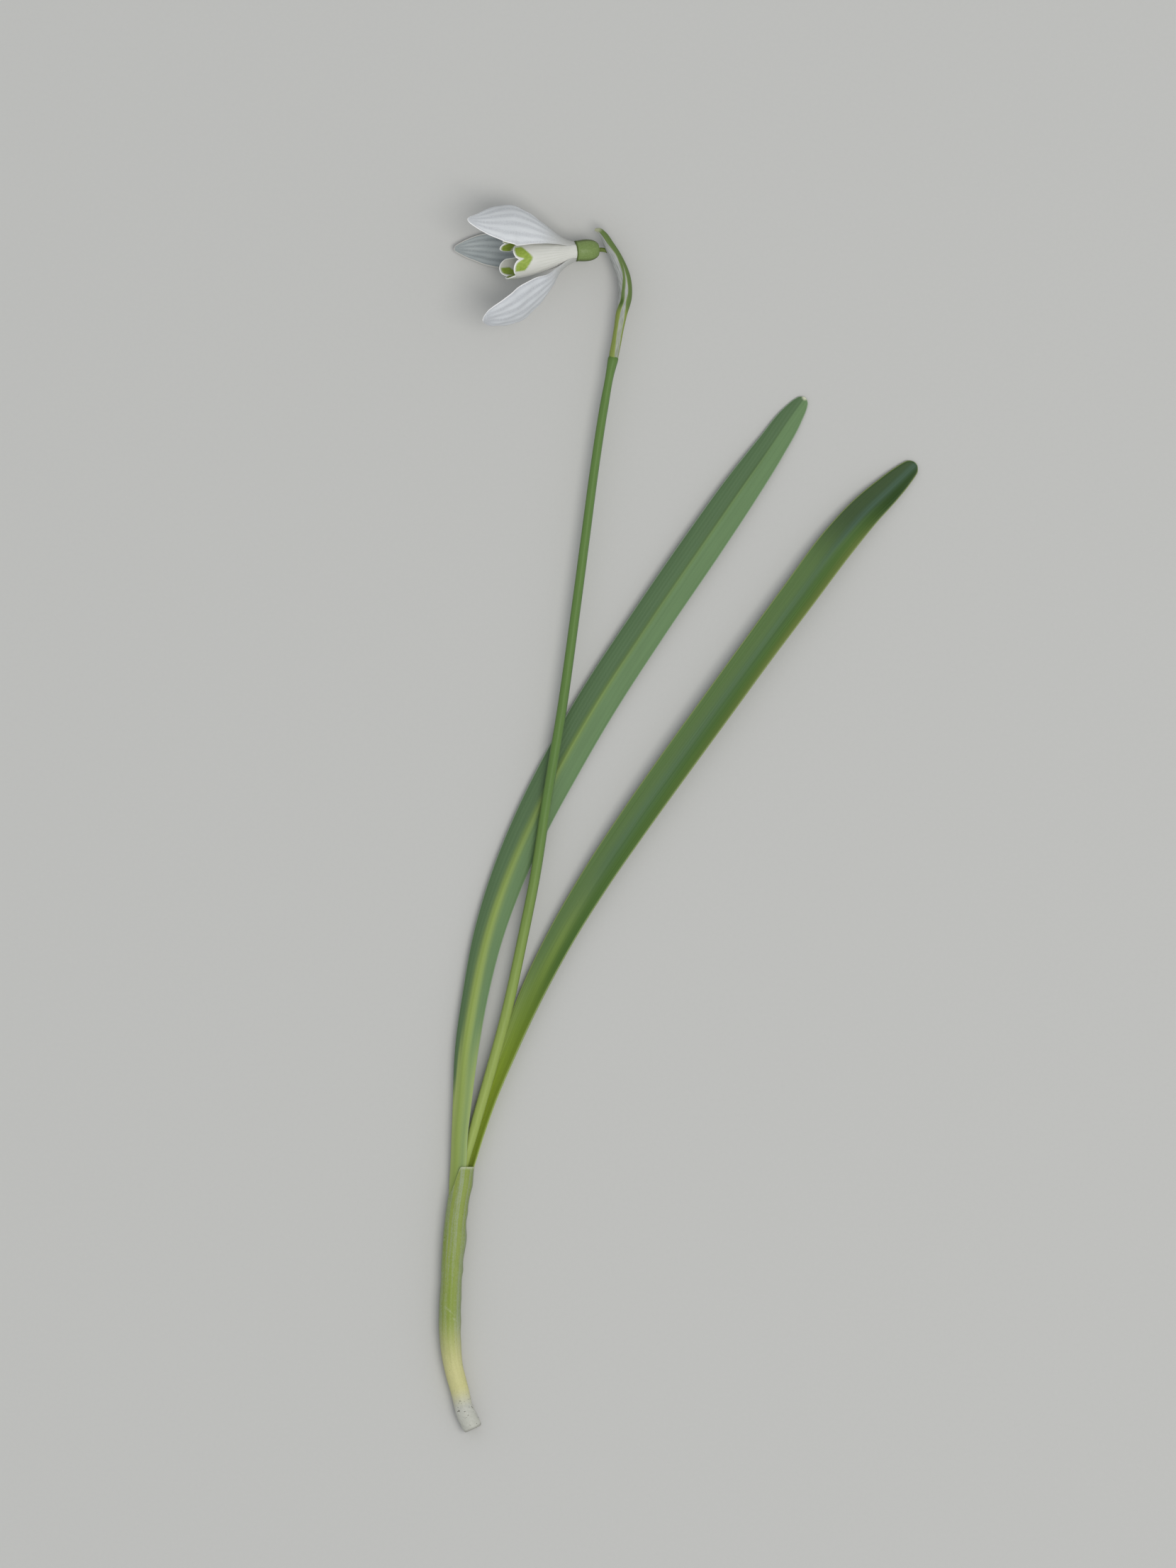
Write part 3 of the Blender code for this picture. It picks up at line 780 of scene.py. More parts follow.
@dataclass(frozen=True)
class Ribbon:
    """A thin blade that bends to a circle's arc across and is carried along a line.

    Attributes:
        rows: x, y, z, roll, half width, cup and thickness along the midline.
        grid: How many rows and columns of points each face has.
        tip: Radius of the tip's rounding, in millimetres along the midline.
        rounding: How sharply the thickness ends at the margins: more is sharper.
    """

    rows: Rows
    grid: Grid
    tip: float = 0.5
    rounding: float = 6.0

    @cached_property
    def line(self) -> Line:
        """The midline with its values."""
        return Line(self.rows)

    @cached_property
    def t(self) -> Array:
        """Shares along the midline, one row each, closer together towards the tip."""
        return (np.sin(np.linspace(0.0, math.pi / 2, self.grid[0])) ** 1.15)[:, None]

    @cached_property
    def v(self) -> Array:
        """Shares across from -1 to 1, one column each, closer together at the margins."""
        return dense_ends(self.grid[1])[None, :]

    @cached_property
    def along(self) -> Array:
        """Millimetres along the midline."""
        return self.t * self.line.length

    @cached_property
    def values(self) -> Array:
        """The rows' values at each station, with room for the columns."""
        return self.line.values(self.t)

    @cached_property
    def half(self) -> Array:
        """Half of the width at each station, which closes in a quarter circle at the tip."""
        short = np.clip(1.0 - (1.0 - self.t) * self.line.length / self.tip, 0.0, 1.0)
        return self.values[..., 4] * np.sqrt(np.maximum(1.0 - short**2, 0.001))

    @cached_property
    def across(self) -> Array:
        """Millimetres across from the midline."""
        return self.v * self.half

    @cached_property
    def margin(self) -> Array:
        """Millimetres from the nearest margin or from the tip."""
        sides = (1.0 - np.abs(self.v)) * self.half
        return np.minimum(sides, (1.0 - self.t) * self.line.length)

    def flutes(self, pitch: float) -> Array:
        """Long ribs of height 1: a cosine across, which fades out at the margins."""
        return np.cos(2.0 * math.pi * self.across / pitch) * (1.0 - np.abs(self.v) ** 4)

    def shell(self, marks: Marks, relief: Array | float = 0.0,
              sway: Array | float = 0.0) -> Shell:
        """Close the blade.

        A section is an arc of the cup's circle, offset both ways along its normal by half
        of the thickness, which falls to nothing at the margins and ends as a root does.

        Args:
            marks: The three masks for the finish.
            relief: Millimetres that the upper face stands proud.
            sway: Millimetres that the whole blade is moved along its normal.

        Returns:
            The closed surface.
        """
        cup, thickness = self.values[..., 5], self.values[..., 6]
        angle = self.across * cup
        side, up = self.line.frame(self.t, self.values[..., 3])
        normal = side * np.sin(angle)[..., None] + up * np.cos(angle)[..., None]
        middle = self.values[..., :3] + (normal - up) / cup[..., None]
        ends = np.clip(np.minimum(self.t, 1.0 - self.t) * self.line.length / thickness, 0, 1)
        depth = np.sqrt((1.0 - np.abs(self.v) ** self.rounding) * ends) * thickness / 2.0
        middle = middle + normal * np.broadcast_to(sway, depth.shape)[..., None]
        face = chart(self.across, self.along, (self.v, self.t), self.margin, marks)
        return closed_sheet(middle + normal * (depth + relief)[..., None],
                            middle - normal * depth[..., None], face)


@dataclass(frozen=True)
class Stalk:
    """A round stalk along rows of x, y, z and radius.

    Attributes:
        rows: The axis and radius.
        grid: How many rings, and how many points round each.
        ribs: How many faint ribs run along it.
        rib_height: Their height as a share of the radius.
    """

    rows: Rows
    grid: Grid
    ribs: int = 0
    rib_height: float = 0.0

    def shell(self, marks: Callable[[Array, Array], Marks]) -> Shell:
        """Close the stalk: each ring is a circle across the axis, fluted by a cosine.

        Args:
            marks: Gives the masks from the angle, 0 on top and above 0 to the right, and
                the share along.

        Returns:
            The closed surface.
        """
        line = Line(self.rows)
        t = np.linspace(0.0, 1.0, self.grid[0])[:, None]
        turn = np.linspace(-math.pi, math.pi, self.grid[1], endpoint=False)[None, :]
        flutes = 1.0 + self.rib_height * np.cos(self.ribs * turn)
        radius = line.values(t)[..., 3] * flutes
        face = chart(turn * radius, t * line.length, (turn / math.pi, t), 1.0, marks(turn, t))
        return closed_tube(line.around(t, turn, radius), face)


@dataclass(frozen=True)
class Sheath:
    """The pale sheath round the feet of the leaves, with the torn scale at its cut end.

    Attributes:
        axis: x, y, z and the outer radius, from the cut end to the mouth.
        wall: Its thickness as a share of the radius.
        slant: How much lower the mouth is on the left, in millimetres.
        mouth_tilt: Half of how much that side is cut back to make the rim level.
        crinkles: y, height and width of the bulges of the right edge.
        end_rounding, end_sink, scale_sink: How far up its cut end is rounded, and how far
            the end sinks in there, and the scale's.
        fold_count, fold_height: Its faint long folds.
        cream_zone, bleached_zone: The shares along between which its colour changes.
        scratches: x, y, slope and length of the dry scratches on top.
        leaf_foot, scape_foot: The thickness of a leaf's foot and the radius of the
            stalk's, as shares of its radius.
        foot_sunk: How far the leaves' feet stay inside the cut end.
        scale_radius, scale_wall, scale_half_angle: The scale's size round the sheath.
        scale_end, scale_hug: The share up to which it reaches, and how much closer to
            the sheath its upper edge lies.
    """

    axis: Rows = (
        (-36.92, -110.4, 1.8, 1.55), (-38.5, -107.0, 1.8, 1.62), (-39.41, -103.3, 1.85, 1.67),
        (-40.45, -99.4, 1.9, 1.72), (-41.09, -94.0, 2.0, 1.93), (-41.11, -88.0, 2.05, 1.95),
        (-40.92, -84.0, 2.05, 1.88), (-40.74, -80.4, 2.05, 1.95), (-40.36, -76.0, 2.07, 2.05),
        (-40.18, -73.4, 2.1, 1.98), (-39.7, -69.5, 2.12, 1.92), (-39.13, -66.0, 2.14, 1.98),
        (-38.76, -62.8, 2.15, 2.05),
    )
    wall: float = 0.13
    slant: float = 5.4
    mouth_tilt: float = 0.22
    crinkles: Rows = ((-66.2, 0.16, 1.3), (-71.0, 0.12, 0.9), (-76.2, 0.20, 1.8),
                      (-81.8, 0.14, 0.9), (-86.5, 0.08, 1.1), (-91.0, 0.07, 1.2))
    end_rounding: float = 0.55
    end_sink: float = 0.35
    fold_count: float = 11.0
    fold_height: float = 0.02
    cream_zone: tuple[float, float] = (0.46, 0.21)
    bleached_zone: tuple[float, float] = (0.17, 0.08)
    scratches: Rows = ((-41.3, -88.9, -0.9, 0.6), (-40.3, -90.6, -0.8, 0.3),
                       (-39.7, -92.2, 1.6, 0.25))
    leaf_foot: float = 0.17
    scape_foot: float = 0.42
    foot_sunk: float = 0.45
    scale_radius: float = 1.74
    scale_wall: float = 0.16
    scale_half_angle: float = 165.0
    scale_end: float = 0.13
    scale_hug: float = 0.3
    scale_sink: float = 0.45
    scratch_width: float = 0.16
    grid: Grid = (300, 128)
    scale_grid: Grid = (70, 120)

    def leaf_rows(self, azimuth: float, inwards: bool, share: float, wrap: float) -> Rows:
        """Rows of a leaf's foot on its ring inside the sheath, up to near the mouth.

        Args:
            azimuth: Where its back is round the sheath, from +X towards +Z.
            inwards: Whether its face turns to the sheath's axis as it leaves the mouth.
            share: The radius of its ring as a share of the sheath's.
            wrap: Half of the angle that it wraps.

        Returns:
            The rows of a ribbon.
        """
        turn = math.radians(azimuth)
        rows = []
        facing = -1.0 if inwards else 1.0
        for x, y, z, radius in self.axis[:-2]:
            ring = radius * share
            sunk = self.foot_sunk if y == self.axis[0][1] else 0.0
            rows.append((x + math.cos(turn) * ring, y + sunk, z + math.sin(turn) * ring,
                         azimuth - 90.0 * facing, ring * math.radians(wrap), facing / ring,
                         radius * self.leaf_foot))
        return tuple(rows)

    def scape_rows(self) -> Rows:
        """Rows of the stalk's foot inside the sheath, below the mouth."""
        return tuple((x, y, z, radius * self.scape_foot) for x, y, z, radius in self.axis[:-1])

    def skin(self) -> Shell:
        """The tube: circles round the axis, which end at the slanted mouth.

        The wall waves along its right edge, and its thickness ends roundly at both rims.
        """
        line = Line(self.axis)
        turn = np.linspace(-math.pi, math.pi, self.grid[1], endpoint=False)[None, :]
        lowered = ease(-np.sin(turn), 0.12, 0.98) * self.slant / line.length
        level = (1.0 - np.sin(turn)) * self.mouth_tilt / line.length
        share = np.linspace(0.0, 1.0, self.grid[0])[:, None]
        at = share * (1.0 - lowered - level)
        values = line.values(at)
        along = at * line.length
        place, height, width = np.transpose(self.crinkles)
        edge = (height * bump(values[..., 1, None], place, width)).sum(axis=-1)
        edge = edge * ease(np.sin(turn), 0.35, 1.0)
        folds = self.fold_height * np.cos(self.fold_count * turn + 0.4) * ease(at, 0.1, 0.5)
        waves = self.fold_height * ripple(8, along + 3.0 * turn, 5.0)
        radius = values[..., 3] + edge + folds + waves - self.rounded(along, self.end_sink)
        thin = np.sqrt(np.clip(np.minimum(share, 1.0 - share) * 60.0, 0.0, 1.0))
        inner = radius - values[..., 3] * self.wall * thin
        rim = ease((1.0 - share) * line.length, 0.6, 0.2) * (1.0 - 0.8 * ease(lowered, 0.0, 0.02))
        points = line.around(at, turn, radius)
        x, y, slope, length = np.transpose(self.scratches)
        off, down = points[..., 0, None] - x, points[..., 1, None] - y
        scratch = bump(down - slope * off, 0.0, self.scratch_width) * bump(off, 0.0, length)
        rim = np.maximum(rim, 0.7 * scratch.sum(axis=-1) * (np.cos(turn) > 0.0))
        face = chart(turn * radius, along, (turn / math.pi, at), 1.0,
                     (ease(at, *self.cream_zone), ease(at, *self.bleached_zone), rim))
        return closed_sheet(points, line.around(at, turn, inner), face, wrap=True)

    def rounded(self, along: Array, depth: float) -> Array:
        """How far the cut end is rounded off: a quarter circle that sinks by the depth."""
        short = np.clip(1.0 - along / self.end_rounding, 0.0, 1.0)
        return depth * (1.0 - np.sqrt(1.0 - short**2))

    def scale(self) -> Shell:
        """The scale: a sheet bent round the cut end, open below, with a torn upper edge."""
        line = Line(self.axis)
        angle = np.radians(self.scale_half_angle) * dense_ends(self.scale_grid[1])[None, :]
        share = dense_ends(self.scale_grid[0], 0.0, 1.0)[:, None]
        torn = 0.92 + 0.04 * ripple(5, angle * self.scale_radius, 2.4)
        at = share * self.scale_end * torn
        along = at * line.length
        radius = (self.scale_radius + 0.03 * ripple(9, along * 1.5 + angle * 2.0, 2.5)
                  - self.rounded(along, self.scale_sink)) - self.scale_hug * ease(share, 0.65, 1.0)
        edges = np.minimum(np.minimum(share, 1.0 - share) * 14.0,
                           (1.0 - np.abs(angle) / math.radians(self.scale_half_angle)) * 14.0)
        wall = self.scale_wall * np.sqrt(np.clip(edges, 0.0, 1.0))
        face = chart(angle * radius, along, (angle / math.pi, at), 1.0,
                     (1.0, ease(at, *self.bleached_zone), 0.0))
        return closed_sheet(line.around(at, angle, radius),
                            line.around(at, angle, radius - wall), face)

    def build(self) -> None:
        """Make the sheath and its scale."""
        material = SheathFinish().material()
        set_piece("leaf_sheath", self.skin(), material, "sheath", Slot.SHEATH)
        set_piece("torn_scale", self.scale(), material, "basal_scale", Slot.SCALE)


@dataclass(frozen=True)
class Leaves:
    """The two strap-shaped leaves: the left one back up, the right one face up.

    Attributes:
        left_foot, right_foot: What Sheath.leaf_rows takes for each.
        grid: Rows and columns of each face.
        keel_height, rib_height, rib_pitch: The relief of the left leaf's back.
        line_height, line_pitch, fold_depth: The relief of the right leaf's face.
        left_blade, right_blade: Rows of the ribbons above the sheath.
    """

    sheath: Sheath
    left_foot: tuple[float, bool, float, float] = (143.0, False, 0.82, 70.0)
    right_foot: tuple[float, bool, float, float] = (-40.0, True, 0.68, 50.0)
    grid: Grid = (430, 72)
    keel_height: float = 0.24
    rib_height: float = 0.018
    rib_pitch: float = 0.62
    line_height: float = 0.010
    line_pitch: float = 0.40
    fold_depth: float = 0.035
    left_blade: Rows = (
        (-40.38, -66.0, 2.85, 42.0, 2.08, 0.43, 0.38),
        (-40.05, -63.1, 2.95, 37.0, 1.95, 0.42, 0.42),
        (-39.72, -57.2, 3.15, 34.0, 1.92, 0.41, 0.45), (-39.23, -52.0, 3.1, 27.0, 2.0, 0.34, 0.5),
        (-38.22, -41.8, 2.85, 15.0, 2.3, 0.22, 0.6), (-36.52, -31.5, 2.55, 10.0, 2.45, 0.16, 0.65),
        (-34.25, -21.3, 2.25, 6.0, 2.78, 0.13, 0.65), (-30.85, -11.1, 1.95, 3.0, 3.12, 0.11, 0.62),
        (-26.4, -0.8, 1.75, 0.0, 3.4, 0.1, 0.6), (-21.1, 9.4, 1.7, 0.0, 3.62, 0.085, 0.6),
        (-15.2, 19.7, 1.8, 0.0, 3.7, 0.08, 0.6), (-5.25, 35.0, 2.2, 0.0, 3.66, 0.08, 0.58),
        (5.3, 50.4, 2.2, 0.0, 3.6, 0.08, 0.55), (11.45, 59.3, 1.8, 0.0, 3.35, 0.08, 0.52),
        (16.85, 67.0, 1.15, 0.0, 2.78, 0.09, 0.48), (20.68, 72.7, 0.62, 0.0, 2.1, 0.12, 0.45),
        (22.2, 74.8, 0.42, 0.0, 1.45, 0.18, 0.42), (23.0, 75.95, 0.34, 0.0, 0.8, 0.2, 0.4),
    )
    right_blade: Rows = (
        (-38.3, -65.5, 1.2, 48.0, 1.45, -0.5, 0.36), (-37.6, -63.1, 1.15, 45.0, 1.5, -0.4, 0.38),
        (-35.98, -57.0, 1.1, 38.0, 1.75, -0.33, 0.42),
        (-34.1, -51.3, 1.05, 33.0, 1.9, -0.38, 0.48),
        (-30.33, -41.8, 1.1, 25.0, 2.05, -0.36, 0.55),
        (-26.06, -31.5, 1.25, 14.0, 2.4, -0.26, 0.6), (-20.94, -21.3, 1.5, 6.0, 2.6, -0.2, 0.6),
        (-14.85, -11.1, 1.9, 2.0, 2.8, -0.16, 0.6), (-7.94, -0.8, 2.3, 0.0, 3.0, -0.15, 0.6),
        (-0.7, 9.4, 2.6, 0.0, 3.1, -0.14, 0.6), (6.78, 19.7, 2.8, 0.0, 3.15, -0.14, 0.6),
        (14.2, 29.9, 2.8, 0.0, 3.15, -0.13, 0.6), (21.75, 40.1, 2.5, 0.0, 3.25, -0.12, 0.58),
        (29.5, 50.4, 1.8, 0.0, 3.25, -0.11, 0.55), (33.9, 55.4, 1.3, 0.0, 2.98, -0.11, 0.52),
        (37.72, 59.05, 0.8, 0.0, 2.58, -0.11, 0.5), (40.4, 61.6, 0.48, 0.0, 2.1, -0.12, 0.48),
        (42.1, 63.2, 0.34, 0.0, 1.6, -0.15, 0.45), (43.05, 64.05, 0.28, 0.0, 1.15, -0.15, 0.42),
    )

    def left(self) -> Shell:
        """The left leaf: a keel along its back, a bell curve across, that sinks at the tip."""
        rows = (*self.sheath.leaf_rows(*self.left_foot), *self.left_blade)
        leaf = Ribbon(rows, self.grid, tip=0.8)
        t, across = leaf.t, leaf.across
        wide = np.interp(t, (0.3, 0.5, 0.75, 1.0), (0.75, 0.62, 0.36, 0.22))
        keel = bump(across, 0.0, wide) * ease(t, 1.0, 0.9)
        show = np.interp(t, (0.25, 0.45, 0.62, 0.8, 1.0), (1.0, 1.0, 0.75, 0.35, 0.15))
        relief = self.keel_height * keel * ease(t, 0.20, 0.34)
        ribs = self.rib_height * leaf.flutes(self.rib_pitch)
        apex = ease(np.hypot(across, (1.0 - t) * leaf.line.length), 0.75, 0.2) * 0.8
        foot = ease(t, 0.385, 0.295) * (1.0 - 0.6 * bump(across, 1.15, 0.75))
        foot = foot * (1.0 - ease(across, -0.9, -1.5) * ease(t, 0.285, 0.32))
        foot = np.maximum(foot, keel * ease(t, 0.6, 0.35))
        return leaf.shell((keel * show, apex, foot), relief + ribs * ease(t, 0.25, 0.35))

    def right(self) -> Shell:
        """The right leaf: a channel with a fold to the right of its waxy band."""
        rows = (*self.sheath.leaf_rows(*self.right_foot), *self.right_blade)
        leaf = Ribbon(rows, self.grid, tip=1.2)
        t, across = leaf.t, leaf.across
        open_part = ease(t, 0.25, 0.36) * ease(t, 1.0, 0.93)
        # The fold mask paints shade along the crease.
        fold = bump(across, 0.55, 0.22) * ease(t, 0.45, 0.6) * ease(t, 0.90, 0.78)
        relief = self.line_height * leaf.flutes(self.line_pitch) - self.fold_depth * fold
        band = bump(across, 0.15, np.interp(t, (0.6, 0.95), (0.95, 0.62))) * ease(t, 0.3, 0.5)
        # Painted shade: darker at the tip, starting sooner towards the left margin.
        apex = ease(t - 0.04 * ease(across, 0.0, 1.0), 0.86, 0.93)
        return leaf.shell((band, fold, apex), relief * open_part)

    def build(self) -> None:
        """Make both leaves."""
        set_piece("left_leaf", self.left(), LeafBackFinish().material(), "leaf_left",
                  Slot.LEAF_BACK)
        set_piece("right_leaf", self.right(), LeafFaceFinish().material(), "leaf_right",
                  Slot.LEAF_FACE)


@dataclass(frozen=True)
class Stem:
    """The scape, the thread-like pedicel and the spathe that folds over both.

    Attributes:
        scape, pedicel: x, y, z and radius.
        spathe: x, y, z, radius, half of the angle that the wall covers, and the side
            that it turns its back to, as a roll.
        keels: Along the spathe, the left and right borders of its left keel and the left
            border of its right keel, as places across from 0 on the left to 1.
        keel_softness: Half of how wide those borders fade.
    """

    sheath: Sheath
    scape: Rows = (
        (-38.72, -63.1, 2.28, 0.88), (-37.08, -57.2, 2.5, 0.93), (-34.1, -46.9, 2.6, 0.95),
        (-31.3, -36.7, 2.7, 0.95), (-27.9, -21.3, 2.85, 0.94), (-25.85, -11.1, 3.05, 0.93),
        (-23.5, 4.0, 3.25, 0.9), (-20.9, 19.7, 3.3, 0.87), (-18.4, 37.6, 3.3, 0.84),
        (-16.7, 50.4, 3.3, 0.82), (-15.1, 62.5, 3.25, 0.8), (-13.35, 74.0, 3.2, 0.79),
        (-12.1, 80.8, 3.2, 0.8), (-11.8, 82.2, 3.2, 0.91), (-11.64, 83.0, 3.2, 0.94),
        (-11.6, 83.3, 3.2, 0.88), (-11.58, 83.42, 3.2, 0.72),
    )
    pedicel: Rows = (
        (-11.5, 83.5, 3.2, 0.28), (-10.6, 88.0, 3.2, 0.28), (-9.75, 93.0, 3.2, 0.3),
        (-9.85, 96.5, 3.15, 0.32), (-10.75, 99.8, 2.95, 0.34), (-12.05, 101.85, 2.85, 0.37),
        (-13.05, 102.48, 3.0, 0.38), (-14.25, 102.6, 3.25, 0.39),
    )
    spathe: Rows = (
        (-11.6, 82.8, 3.2, 0.8, 172.0, -42.0), (-11.5, 83.6, 3.2, 0.83, 170.0, -42.0),
        (-11.2, 85.2, 3.2, 0.84, 165.0, -42.0), (-10.68, 88.1, 3.2, 0.86, 160.0, -42.0),
        (-10.22, 90.7, 3.25, 0.98, 150.0, -42.0), (-9.55, 94.3, 3.3, 1.24, 140.0, -38.0),
        (-9.72, 97.2, 3.3, 1.22, 132.0, -34.0), (-10.98, 100.7, 3.35, 1.1, 118.0, -30.0),
        (-12.45, 103.4, 3.45, 0.92, 105.0, -26.0), (-13.55, 105.3, 3.5, 0.68, 95.0, -24.0),
        (-14.2, 106.0, 3.45, 0.5, 90.0, -24.0), (-14.95, 106.15, 3.35, 0.26, 88.0, -24.0),
    )
    keels: Rows = (
        (0.0, -0.3, 0.62, 0.97), (0.08, -0.3, 0.5, 0.95), (0.15, -0.25, 0.42, 0.88),
        (0.29, -0.1, 0.38, 0.84), (0.36, 0.06, 0.42, 0.75), (0.42, 0.2, 0.5, 0.64),
        (0.49, 0.26, 0.5, 0.72), (0.55, 0.36, 0.58, 0.72), (0.62, 0.51, 0.68, 0.73),
        (0.69, 0.57, 0.8, 0.78), (0.76, 0.62, 0.85, 0.8), (0.83, 0.52, 0.85, 0.8),
        (0.91, 0.37, 0.85, 0.8), (1.0, 0.32, 0.85, 0.8),
    )
    keel_softness: float = 0.075
    spathe_wall: float = 0.16
    spathe_grid: Grid = (240, 120)

    def bract(self) -> Shell:
        """The spathe: an arc round its axis, raised along its keels and creased between.

        A place across is where a point shows from above: half of its sine, plus a half.
        """
        line = Line(self.spathe)
        t = dense_ends(self.spathe_grid[0], 0.0, 1.0)[:, None]
        v = dense_ends(self.spathe_grid[1])[None, :]
        values = line.values(t)
        angle = np.radians(values[..., 4]) * v
        roll = values[..., 5]
        seen = 0.5 + 0.5 * np.sin(angle - np.radians(roll))
        low, high, right = np.moveaxis(smooth(self.keels, t), -1, 0)
        soft = self.keel_softness
        keel = np.maximum(ease(seen, low - soft, low + soft) * ease(seen, high + soft, high - soft),
                          ease(seen, right - soft, right + soft))
        along = t * line.length
        radius = values[..., 3]
        crease = ripple(21, along + 2.5 * angle, 2.6) * 0.04 + ripple(22, angle * 1.2, 0.5) * 0.03
        crease = crease * ease(t, 0.03, 0.12)
        radius = radius * (1.0 + 0.05 * keel) + (1.0 - keel) * (crease - 0.04)
        ends = np.clip(np.minimum(t, 1.0 - t) * line.length / self.spathe_wall, 0.0, 1.0)
        wall = self.spathe_wall * (0.5 + 0.5 * keel) * np.sqrt((1.0 - v**8) * ends)
        # Painted shade: a dark patch between the keels, where the opening lies in shade.
        gap_shade = bump(t, 0.415, 0.03) * ease(seen, low, low + 0.1) * ease(seen, high, high - 0.1)
        tip = ease(t, 0.945, 0.98)
        edge = (1.0 - np.abs(v)) * np.radians(values[..., 4]) * values[..., 3]
        face = chart(angle * radius, along, (v, t), edge, (keel, gap_shade, tip))
        return closed_sheet(line.around(t, angle, radius, roll),
                            line.around(t, angle, radius - wall, roll), face)

    def build(self) -> None:
        """Make the stalks and the spathe."""
        scape = Stalk((*self.sheath.scape_rows(), *self.scape), (420, 56), 7, 0.012)
        pedicel = Stalk(self.pedicel, (120, 32), 5, 0.02)
        # The second mark is waxy bloom and a painted highlight on the stalk's right side.
        set_piece("flower_stalk", scape.shell(lambda turn, t: (
            ease(t, 0.62, 0.28), ease(np.sin(turn), 0.55, 0.95) * ease(t, 0.4, 0.6),
            ease(t, 0.994, 0.999) * 0.8)), StalkFinish().material(), "scape", Slot.STALK)
        thread = StalkFinish("pedicel_skin", srgb(96, 112, 50), srgb(104, 120, 56),
                             srgb(104, 120, 62), srgb(84, 98, 40))
        set_piece("flower_pedicel", pedicel.shell(lambda turn, t: (0.0, 0.0, 0.0)),
                  thread.material(), "pedicel", Slot.PEDICEL)
        set_piece("folded_spathe", self.bract(), SpatheFinish().material(), "spathe",
                  Slot.SPATHE)


